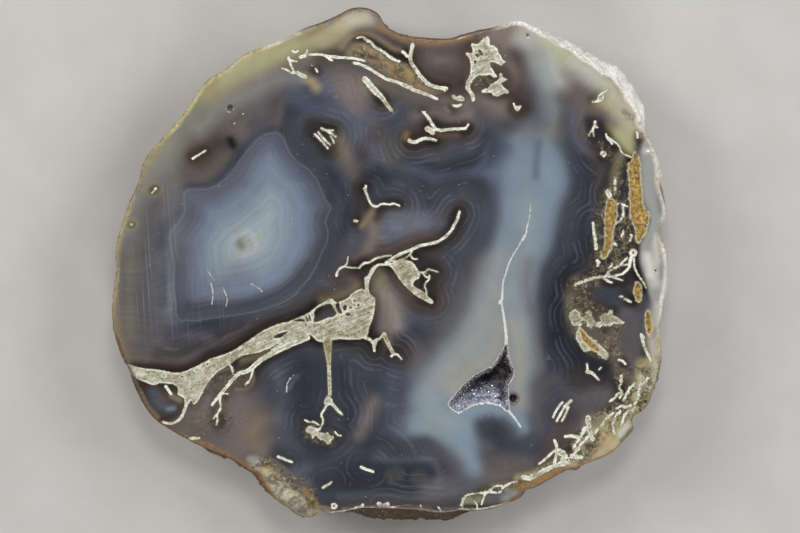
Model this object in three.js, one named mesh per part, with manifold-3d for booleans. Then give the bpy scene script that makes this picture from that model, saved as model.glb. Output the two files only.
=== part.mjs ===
// Fortification agate slice: one slab sawn from a lumpy nodule, polished on its upper face,
// with a small vug lined by a crust of quartz crystals.
// Millimetres, +Z up. The sawn back lies on z = 0, and the box is centred on x = y = 0.

import * as THREE from "three";
import { mergeVertices } from "three/addons/utils/BufferGeometryUtils.js";
import { ImprovedNoise } from "three/addons/math/ImprovedNoise.js";
import Module from "manifold-3d";

const wasm = await Module();
wasm.setup();

// Slab
const sliceLength = 111.4; // the longest way across, along X
const sliceThickness = 16;
const wallColumns = 186; // upright strips round the rind
const wallDepths = [0, 0.06, 0.15, 0.28, 0.42, 0.57, 0.72, 0.87, 1]; // shares of the thickness

// Rind
const wallTuck = 2.6; // how far the nodule's side turns in by the time it reaches the back
const skirtDepth = 4.5; // depth at which the rind stands out furthest below the polished edge
const lumpHeight = 2.1;
const lumpSpacing = 8.5;
const knobHeight = 1.1;
const knobSpacing = 3.4;
const ledgeStep = 0.8; // where an outer flake of the crust has come away
const ledgeSpacing = 12;
const ledgeBlur = 0.06;
const lumpFade = 5; // depth below the polished edge over which the lumps set in
const rindPitCount = 34;
const rindPitHeight = [0.05, 0.8]; // shares of the thickness
const rindPitRadius = [2.0, 3.6];
const rindPitDepth = [0.6, 1.5];
const rindSeed = 11;
const noiseLayers = { lumps: 0, knobs: 7, ledges: 3 }; // offsets that keep the three reliefs apart

// Openings in the polished face
const pocketDepth = 0.8; // ochre pockets, worn back below the polish
const vugDepth = 9.5;
const vugCentre = [21.2, -22.9]; // the deepest place
const rampPull = { reach: 0.93, power: 0.78 }; // gentle side: how the ring closes in with depth
const steepPull = { reach: 0.4, power: 1.6 }; // steep sides
const vugDepths = [0, 0.05, 0.13, 0.26, 0.42, 0.6, 0.78, 0.91, 1]; // shares of vugDepth
const cutClearance = 1; // cutters run this far past the face

// Crystal crust
const crustScale = 0.9; // leaves about 0.3 mm between the crust and the stone
const crustRimDrop = 0.3;
const crustFloorGap = 0.3;
const hollowScale = 0.75;
const hollowLift = 1.0;
const crystalRows = [0.14, 0.31, 0.49, 0.67, 0.84];
const crystalSpacing = 2.15;
const crystalSides = 6;
const crystalWidth = [0.8, 1.25]; // across the prism
const crystalLength = [1.1, 1.9];
const crystalRoot = 0.45; // how much of a crystal is sunk in the crust
const crystalTipShare = 0.42;
const crystalLean = [-0.35, 0.35];
const crystalUplift = 0.14; // how much more they lean towards the mouth
const crystalSeed = 5;
const placesPerCorner = 12; // steps between the mouth's corners when crystals are spaced out
const slopeStep = 0.05; // how far apart the wall's slope is measured

const stoneLook = { colour: 0x7f858f, roughness: 0.12 };
const crystalLook = { colour: 0xb9bccb, roughness: 0.25 };

// Polished edge, clockwise from the lobe at the top: x, y, and how far the rind stands out below it.
const polishedEdge = [
  [-10, 49.8, 0], [-7.8, 50.9, 0], [-5.3, 51.1, 0], [-3.3, 50.5, 0], [-2.1, 49.5, 0], [-1, 47.7, 0],
  [0.3, 46.6, 0], [3, 45.5, 0], [7, 45.1, 0], [11.5, 44.9, 0], [14.5, 45.7, 0], [18, 46.6, 0],
  [22, 47.4, 0], [24.5, 48.3, 0], [26.7, 48.2, 0.1], [29.2, 47, 0.3], [31.2, 45.7, 0.7], [33.2, 44.5, 1.1],
  [36.5, 42.8, 1.5], [39.3, 40.6, 1.8], [42, 39, 1.8], [44.3, 37.4, 2.2], [46.3, 35.1, 2.4],
  [47.9, 33, 2.1], [49.4, 30.8, 1.8], [50.1, 28.8, 1.5], [50.4, 27.3, 1], [51.3, 25.6, 0.8],
  [52.3, 23.7, 0.7], [53.1, 21.7, 0.7], [53.6, 19.6, 0.6], [53.8, 17, 0.5], [54.1, 14.5, 0.4],
  [54.8, 12, 0.3], [55.1, 9.7, 0.2], [54.8, 8.3, 0.1], [54, 7, 0.2], [53.8, 5.8, 0.3], [54.2, 4.8, 0.4],
  [54.9, 3.4, 0.5], [55.3, 1.2, 0.5], [55.3, -1, 0.5], [55.1, -4.5, 0.5], [54.6, -8, 0.4],
  [54.1, -11.5, 0.2], [53.9, -14.7, 0.1], [54.3, -17.5, 0.1], [54, -21.2, 0.1], [52.8, -24.8, 0.1],
  [51.6, -28, 0.1], [50.3, -29.7, 0], [48.7, -30.7, 0], [48.4, -32.1, 0], [48.7, -33.2, 0], [47, -35.2, 0],
  [44.7, -37.6, 0], [42, -39.1, 0], [39, -40.2, 0], [37.2, -41.3, 0], [35.6, -41.3, 0], [34, -42, 0],
  [31, -43.8, 0], [28.9, -44.9, 0], [27.2, -45.4, 0], [26.2, -46.8, 0], [23.5, -48, 0.1],
  [20, -49.2, 0.3], [16.5, -49.5, 0.8], [14, -49.5, 1.3], [12, -49.8, 1.7], [9, -49.9, 1.4],
  [6, -49.4, 1.8], [2.5, -49.2, 2.2], [-1, -49.1, 2.3], [-5, -48.9, 2.2], [-7.5, -49.3, 1.2],
  [-10, -50, 0.3], [-12.2, -50.2, 0.1], [-13.6, -49.4, 0.1], [-14.7, -50.3, 0], [-16.5, -50.8, 0],
  [-18.5, -50.4, 0], [-20.2, -49.1, 0], [-22.2, -47.8, 0.1], [-24, -46, 0.3], [-25.3, -44.3, 0.6],
  [-26.6, -42.4, 0.9], [-28.4, -41.2, 0.9], [-30.3, -39.9, 0.9], [-32.3, -38.8, 0.9], [-35, -37.7, 0.8],
  [-38, -36.4, 0.5], [-41, -35, 0.3], [-44, -33.3, 0.1], [-46.8, -31.4, 0], [-48.6, -29.3, 0],
  [-50.2, -26.5, 0], [-51.4, -23.8, 0], [-52.2, -21.3, 0], [-53.4, -19, 0], [-54.3, -16.7, 0],
  [-55.2, -13.6, 0], [-55.6, -9.5, 0], [-55.3, -6.3, 0], [-54.9, -3.2, 0], [-54.5, -1.1, 0],
  [-54.9, 1.8, 0], [-54.5, 4.8, 0], [-53.5, 7.9, 0], [-52.5, 11, 0], [-51.2, 14, 0], [-50.1, 16.8, 0],
  [-49.6, 19.3, 0], [-48.2, 21.9, 0], [-46, 24.3, 0], [-44, 26.7, 0], [-41.9, 29, 0], [-40.5, 31, 0],
  [-39.2, 32.8, 0], [-37.7, 35.1, 0], [-36, 36.9, 0], [-33, 38.7, 0], [-30.7, 40.6, 0], [-28.2, 42.2, 0],
  [-24.5, 43.5, 0], [-20.5, 45.2, 0], [-17.5, 46.8, 0], [-13.5, 48.2, 0],
];

// Mouth of the vug, clockwise from its upper tip: x, y, and 1 where the floor climbs gently to the edge.
const vugEdge = [
  [23.2, -16.4, 0], [23.5, -18.3, 0], [24, -20, 0], [24.6, -21.7, 0], [24.2, -23.2, 0], [23.6, -24.2, 0],
  [23.5, -26.4, 0.1], [23.6, -28.1, 0.4], [23.6, -29.5, 0.8], [22.5, -28.7, 1], [21.2, -28.1, 1],
  [19.6, -27.8, 1], [18, -27.9, 1], [16.4, -28.4, 1], [15, -29.1, 0.9], [13.6, -29.7, 0.7],
  [11.8, -28.3, 0.3], [13, -26.6, 0.1], [14.2, -25.1, 0], [15.6, -23.8, 0], [17, -22.6, 0], [18.6, -21.7, 0],
  [20, -20.9, 0], [21.5, -19.6, 0], [22, -18.5, 0], [22.6, -17.9, 0],
];

// Ochre pockets in the right-hand side, each an outline.
const ochrePockets = [
  [
    [49, 21.9], [49.8, 20], [49.8, 18.4], [50.2, 15], [50.4, 11.4], [51.7, 9.8], [51.3, 7.6], [50.4, 5.4],
    [49.7, 4.1], [49.3, 6.2], [48.1, 9.6], [48.1, 12], [47.9, 17], [47.8, 19.9], [48.6, 20.5],
  ],
  [
    [43.9, 12.5], [44.9, 12], [45.1, 9], [44.6, 7], [44.3, 3.6], [43.4, 1.5], [42.4, 1.3], [42.9, 3.2],
    [43.1, 8],
  ],
  [[49.4, -4.2], [49.9, -4.3], [50.1, -6.8], [49.7, -7.6], [49, -5.6]],
  [[51.3, -10], [51.9, -10], [52.2, -13], [51.8, -14.5], [51.3, -12.5]],
];

// Small pits in the polished face.
const facePits = [
  { x: 24.6, y: -27, radius: 0.85, depth: 2.4, sides: 4, turn: 0.06 },
  { x: -32, y: 31.1, radius: 0.75, depth: 1.2, sides: 7, turn: 0.4 },
  { x: 27.5, y: 45.6, radius: 0.45, depth: 0.8, sides: 6, turn: 0 },
  { x: 53.1, y: -1.5, radius: 0.45, depth: 0.8, sides: 6, turn: 0.3 },
  { x: 51.1, y: -27.7, radius: 0.5, depth: 0.9, sides: 6, turn: 0.2 },
  { x: 50, y: -29.4, radius: 0.5, depth: 0.9, sides: 6, turn: 0.7 },
];
const pitTaper = 0.35; // floor radius as a share of the mouth's

const mergeDistance = 1e-4;
const noiseField = new ImprovedNoise();
const { seededRandom, smoothstep, lerp } = THREE.MathUtils;

// A closed geometry as a solid that can be joined and cut.
function solidFrom(geometry) {
  const bare = new THREE.BufferGeometry();
  bare.setAttribute("position", geometry.getAttribute("position"));
  if (geometry.index) bare.setIndex(geometry.index);
  const merged = mergeVertices(bare, mergeDistance);
  const triVerts = new Uint32Array(merged.index.array);
  const vertProperties = merged.getAttribute("position").array;
  return new wasm.Manifold(new wasm.Mesh({ numProp: 3, vertProperties, triVerts }));
}

// A solid's surface as a geometry.
function geometryFrom(solid) {
  const surface = solid.getMesh();
  const geometry = new THREE.BufferGeometry();
  geometry.setAttribute("position", new THREE.BufferAttribute(surface.vertProperties, surface.numProp));
  geometry.setIndex(new THREE.BufferAttribute(surface.triVerts, 1));
  return geometry;
}

// Triangles that close a ring of points, facing up or down.
function capTriangles(ring, first, facingUp) {
  const flat = ring.map((p) => new THREE.Vector2(p.x, p.y));
  const triangles = THREE.ShapeUtils.triangulateShape(flat, []);
  return triangles.flatMap(([a, b, c]) => {
    const turnsLeft = THREE.ShapeUtils.area([flat[a], flat[b], flat[c]]) > 0;
    const ordered = turnsLeft === facingUp ? [a, b, c] : [a, c, b];
    return ordered.map((i) => i + first);
  });
}

// A closed solid from clockwise rings, listed from the highest to the lowest.
function stackRings(rings) {
  const count = rings[0].length;
  const positions = rings.flat().flatMap((p) => [p.x, p.y, p.z]);
  const index = [];
  for (let ring = 0; ring + 1 < rings.length; ring++) {
    for (let j = 0; j < count; j++) {
      const next = (j + 1) % count;
      const [a, b] = [ring * count + j, ring * count + next];
      const [c, d] = [a + count, b + count];
      index.push(a, b, c, b, d, c);
    }
  }
  index.push(...capTriangles(rings[0], 0, true));
  index.push(...capTriangles(rings.at(-1), (rings.length - 1) * count, false));
  const geometry = new THREE.BufferGeometry();
  geometry.setAttribute("position", new THREE.Float32BufferAttribute(positions, 3));
  geometry.setIndex(index);
  return solidFrom(geometry);
}

const between = (range) => lerp(range[0], range[1], seededRandom());
const noiseAt = (p, spacing, layer) =>
  noiseField.noise(p.x / spacing + layer, p.y / spacing, p.z / spacing);

// The polished edge, evenly spaced, with its outward direction and the rind's skirt.
function edgeColumns() {
  const corners = polishedEdge.map(([x, y, skirt]) => new THREE.Vector3(x, y, skirt));
  const curve = new THREE.CatmullRomCurve3(corners, true, "centripetal");
  const points = curve.getSpacedPoints(wallColumns).slice(0, wallColumns);
  return points.map((point, i) => {
    const before = points.at(i - 1);
    const after = points[(i + 1) % wallColumns];
    const outward = new THREE.Vector3(before.y - after.y, after.x - before.x, 0).normalize();
    return { point, outward, skirt: Math.max(point.z, 0) };
  });
}

// Round hollows scattered over the rind.
function rindPits(columns) {
  seededRandom(rindSeed);
  return Array.from({ length: rindPitCount }, () => {
    const column = columns[Math.floor(seededRandom() * wallColumns)];
    const height = sliceThickness * between(rindPitHeight);
    const centre = new THREE.Vector3(column.point.x, column.point.y, height);
    return { centre, radius: between(rindPitRadius), depth: between(rindPitDepth) };
  });
}

// The rind: its side turns in towards the back, with a skirt, lumps, knobs, ledges and pits.
function rindPoint(column, depthShare, pits) {
  const depth = depthShare * sliceThickness;
  const edge = new THREE.Vector3(column.point.x, column.point.y, sliceThickness - depth);
  const lumps = lumpHeight * noiseAt(edge, lumpSpacing, noiseLayers.lumps);
  const knobs = knobHeight * noiseAt(edge, knobSpacing, noiseLayers.knobs);
  const ledges = noiseAt(edge, ledgeSpacing, noiseLayers.ledges);
  const flaked = ledgeStep * smoothstep(ledges, -ledgeBlur, ledgeBlur);
  let hollows = 0;
  for (const pit of pits) {
    const away = pit.centre.distanceTo(edge) / pit.radius;
    if (away < 1) hollows += pit.depth * (1 - away * away) ** 2;
  }
  const standsOut = column.skirt * smoothstep(depth, 0, skirtDepth) - wallTuck * depthShare ** 2;
  const relief = (lumps + knobs - flaked - hollows) * smoothstep(depth, 0, lumpFade);
  return edge.addScaledVector(column.outward, Math.min(standsOut + relief, column.skirt));
}

function slabSolid() {
  const columns = edgeColumns();
  const pits = rindPits(columns);
  const rings = wallDepths.map((share) => columns.map((column) => rindPoint(column, share, pits)));
  return stackRings(rings);
}

const closingIn = (pull, share) => pull.reach * Math.max(share, 0) ** pull.power;

// A point of the vug's wall: place runs round its mouth, scale draws the ring towards the deepest place.
function vugPoint(place, depth, scale, lift) {
  const at = ((place % vugEdge.length) + vugEdge.length) % vugEdge.length;
  const from = vugEdge[Math.floor(at)];
  const to = vugEdge[(Math.floor(at) + 1) % vugEdge.length];
  const [x, y, gentle] = from.map((value, i) => lerp(value, to[i], at - Math.floor(at)));
  const share = Math.min((depth + lift) / vugDepth, 1);
  const close = lerp(closingIn(steepPull, share), closingIn(rampPull, share), gentle);
  const reach = (1 - close) * scale;
  const [cx, cy] = vugCentre;
  return new THREE.Vector3(cx + (x - cx) * reach, cy + (y - cy) * reach, sliceThickness - depth);
}

// The vug's hollow as a solid, from topDepth down to floorDepth.
function vugSolid({ scale, lift, topDepth, floorDepth }) {
  const ringAt = (depth, height) =>
    vugEdge.map((_, place) => vugPoint(place, depth, scale, lift).setZ(height));
  const depths = vugDepths.map((share) => lerp(Math.max(topDepth, 0), floorDepth, share));
  const rings = depths.map((depth) => ringAt(depth, sliceThickness - depth));
  if (topDepth < 0) rings.unshift(ringAt(0, sliceThickness - topDepth));
  return stackRings(rings);
}

function pocketSolid(outline) {
  const shape = new THREE.Shape(outline.map(([x, y]) => new THREE.Vector2(x, y)));
  const depth = pocketDepth + cutClearance;
  const cutter = new THREE.ExtrudeGeometry(shape, { depth, bevelEnabled: false });
  return solidFrom(cutter.translate(0, 0, sliceThickness - pocketDepth));
}

function pitSolid({ x, y, radius, depth, sides, turn }) {
  const height = depth + cutClearance;
  const mouth = radius * (1 + ((1 - pitTaper) * cutClearance) / depth);
  const cutter = new THREE.CylinderGeometry(mouth, radius * pitTaper, height, sides);
  cutter.rotateX(Math.PI / 2).rotateZ(turn);
  return solidFrom(cutter.translate(x, y, sliceThickness + cutClearance - height / 2));
}

function stoneSolid() {
  let stone = slabSolid();
  const hollow = { scale: 1, lift: 0, topDepth: -cutClearance, floorDepth: vugDepth };
  stone = stone.subtract(vugSolid(hollow));
  for (const outline of ochrePockets) stone = stone.subtract(pocketSolid(outline));
  for (const pit of facePits) stone = stone.subtract(pitSolid(pit));
  return stone;
}

// One quartz crystal: a prism with a pointed end, standing on z = 0.
function crystalSolid(width, length) {
  const shoulder = length * (1 - crystalTipShare);
  const profile = [
    [0, 0],
    [width / 2, 0],
    [width / 2, shoulder],
    [0, length],
  ].map(([radius, height]) => new THREE.Vector2(radius, height));
  const crystal = new THREE.LatheGeometry(profile, crystalSides);
  return crystal.rotateX(Math.PI / 2);
}

// The way into the hollow at a place on its wall.
function intoHollow(place, depth) {
  const here = vugPoint(place, depth, hollowScale, hollowLift);
  const along = vugPoint(place + slopeStep, depth, hollowScale, hollowLift).sub(here);
  const down = vugPoint(place, depth + slopeStep, hollowScale, hollowLift).sub(here);
  const inward = along.cross(down).normalize();
  const [cx, cy] = vugCentre;
  const towards = new THREE.Vector3(cx - here.x, cy - here.y, vugDepth);
  return inward.dot(towards) < 0 ? inward.negate() : inward;
}

// Crystals in rows round the hollow, each leaning a little its own way.
function crystalSolids() {
  const crystals = [];
  const up = new THREE.Vector3(0, 0, 1);
  const one = new THREE.Vector3(1, 1, 1);
  const stepsRound = placesPerCorner * vugEdge.length;
  seededRandom(crystalSeed);
  crystalRows.forEach((share) => {
    const depth = share * (vugDepth - hollowLift);
    let travelled = crystalSpacing * seededRandom();
    let last = vugPoint(0, depth, hollowScale, hollowLift);
    for (let i = 1; i <= stepsRound; i++) {
      const place = (i / stepsRound) * vugEdge.length;
      const foot = vugPoint(place, depth, hollowScale, hollowLift);
      travelled += foot.distanceTo(last);
      last = foot;
      if (travelled < crystalSpacing) continue;
      travelled = 0;
      const lean = new THREE.Vector3(between(crystalLean), between(crystalLean), between(crystalLean));
      lean.z += crystalUplift;
      const way = intoHollow(place, depth).add(lean).normalize();
      const turned = new THREE.Quaternion().setFromUnitVectors(up, way);
      const root = foot.clone().addScaledVector(way, -crystalRoot);
      const crystal = crystalSolid(between(crystalWidth), between(crystalLength));
      crystals.push(solidFrom(crystal.applyMatrix4(new THREE.Matrix4().compose(root, turned, one))));
    }
  });
  return crystals;
}

function crustSolid() {
  const floorDepth = vugDepth - crustFloorGap;
  const whole = vugSolid({ scale: crustScale, lift: crustFloorGap, topDepth: crustRimDrop, floorDepth });
  const hollow = vugSolid({
    scale: hollowScale,
    lift: hollowLift,
    topDepth: -cutClearance,
    floorDepth: vugDepth - hollowLift,
  });
  const lining = whole.subtract(hollow);
  const grown = crystalSolids().reduce((sum, crystal) => sum.add(crystal), lining);
  return grown.intersect(whole);
}

function namedMesh(name, solid, { colour, roughness }) {
  const material = new THREE.MeshStandardMaterial({ color: colour, roughness, flatShading: true });
  const mesh = new THREE.Mesh(geometryFrom(solid), material);
  mesh.name = name;
  return mesh;
}

const slice = new THREE.Group();
slice.add(namedMesh("agate_slice", stoneSolid(), stoneLook));
slice.add(namedMesh("vug_crystals", crustSolid(), crystalLook));

// The drawn outline is brought to its length and centred over the origin.
const drawn = new THREE.Box3().setFromObject(slice);
const fit = sliceLength / (drawn.max.x - drawn.min.x);
slice.scale.set(fit, fit, 1);
slice.position.set((-fit * (drawn.min.x + drawn.max.x)) / 2, (-fit * (drawn.min.y + drawn.max.y)) / 2, 0);

export default slice;
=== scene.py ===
import bpy
import numpy as np
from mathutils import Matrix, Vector
from mathutils.geometry import delaunay_2d_cdt


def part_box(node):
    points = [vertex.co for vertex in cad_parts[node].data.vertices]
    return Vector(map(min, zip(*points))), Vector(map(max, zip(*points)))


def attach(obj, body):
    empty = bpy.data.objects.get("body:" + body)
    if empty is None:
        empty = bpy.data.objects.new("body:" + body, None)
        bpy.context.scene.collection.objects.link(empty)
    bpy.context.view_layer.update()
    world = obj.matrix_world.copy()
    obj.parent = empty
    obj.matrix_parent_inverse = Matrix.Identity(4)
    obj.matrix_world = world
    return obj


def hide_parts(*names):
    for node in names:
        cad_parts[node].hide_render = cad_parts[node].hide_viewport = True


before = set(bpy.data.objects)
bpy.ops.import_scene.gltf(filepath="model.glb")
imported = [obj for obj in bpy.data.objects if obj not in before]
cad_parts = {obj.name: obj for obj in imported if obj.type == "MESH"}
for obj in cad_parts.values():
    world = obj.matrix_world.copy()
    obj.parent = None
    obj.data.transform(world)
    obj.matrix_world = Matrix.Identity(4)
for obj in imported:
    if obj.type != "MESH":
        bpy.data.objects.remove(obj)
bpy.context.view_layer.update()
bpy.context.scene.view_settings.view_transform = "Standard"

# The pattern is drawn in millimetres on the polish, x to the right and y up
drawing = {
    "scale": 1.0004176,              # drawn millimetres to real ones
    "shift": (-0.0864, 0.1302),      # mm from the drawing's zero to the part's
}
lowCorner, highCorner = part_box("agate_slice")
thickness = 1000 * (highCorner.z - lowCorner.z)

# The tones of the stone, as seen on the polish (display red, green and blue, 0 to 255)
tones = {
    "black": (18, 16, 16), "ink": (40, 43, 53), "charcoal": (44, 42, 42), "umber": (50, 40, 34),
    "maroon": (72, 59, 56), "slate": (58, 61, 71), "slateBlue": (76, 84, 101), "violet": (90, 90, 102),
    "smoke": (84, 81, 84), "brownGrey": (98, 90, 84), "rose": (120, 107, 100), "tan": (134, 116, 92),
    "sheet": (156, 143, 106), "oliveDark": (66, 62, 52), "olive": (108, 101, 77), "moss": (116, 104, 80),
    "lime": (160, 163, 122), "rimGreen": (110, 108, 92), "rimYellow": (148, 139, 90), "hatch": (92, 94, 88),
    "paleBlue": (118, 131, 142), "sky": (122, 138, 153), "milk": (141, 150, 153), "pearl": (146, 146, 141),
    "beige": (152, 146, 134), "cream": (190, 184, 160), "chalk": (188, 186, 178), "night": (33, 35, 43),
    "white": (216, 213, 202), "honey": (174, 157, 117), "rust": (142, 108, 66),
}

# How the tone changes with the distance from the nearest filament, in mm
growthTones = [
    (0, (24, 21, 19)), (0.45, (32, 28, 26)), (0.9, (46, 42, 41)), (1.6, (62, 59, 61)), (2.8, (72, 71, 78)),
    (4, (68, 68, 78)), (5.2, (54, 55, 65)), (6.6, (48, 50, 60)), (8, (64, 70, 83)), (9.4, (90, 100, 113)),
    (11.5, (118, 129, 139)), (15, (134, 145, 149)),
]
chamberTones = [
    (0, (82, 82, 92)), (0.8, (80, 82, 94)), (1.8, (88, 92, 106)), (3.2, (97, 105, 119)),
     (5.5, (111, 122, 137)),
    (8.5, (126, 138, 149)), (11.5, (143, 154, 160)), (14, (154, 162, 157)), (17, (156, 160, 147)),
]
chamberEdge = [
    (-41, 14.3), (-36, 15), (-32, 17.6), (-30, 20.5), (-28, 23.3), (-25.2, 25.6), (-22.3, 26), (-20.6, 23),
    (-19, 20.8), (-16.2, 18.6), (-14.3, 15.6), (-12.8, 12.6), (-11.9, 11), (-13.2, 8.2), (-12.4, 5.4),
    (-14, 1), (-16.5, -3.5), (-20, -6.8), (-25, -9.2), (-30, -10.4), (-36, -11), (-41, -11.6), (-42.6, -11),
    (-43, -6), (-43.2, 0), (-44, 4.8), (-42.4, 8), (-41, 10.6),
]

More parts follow.
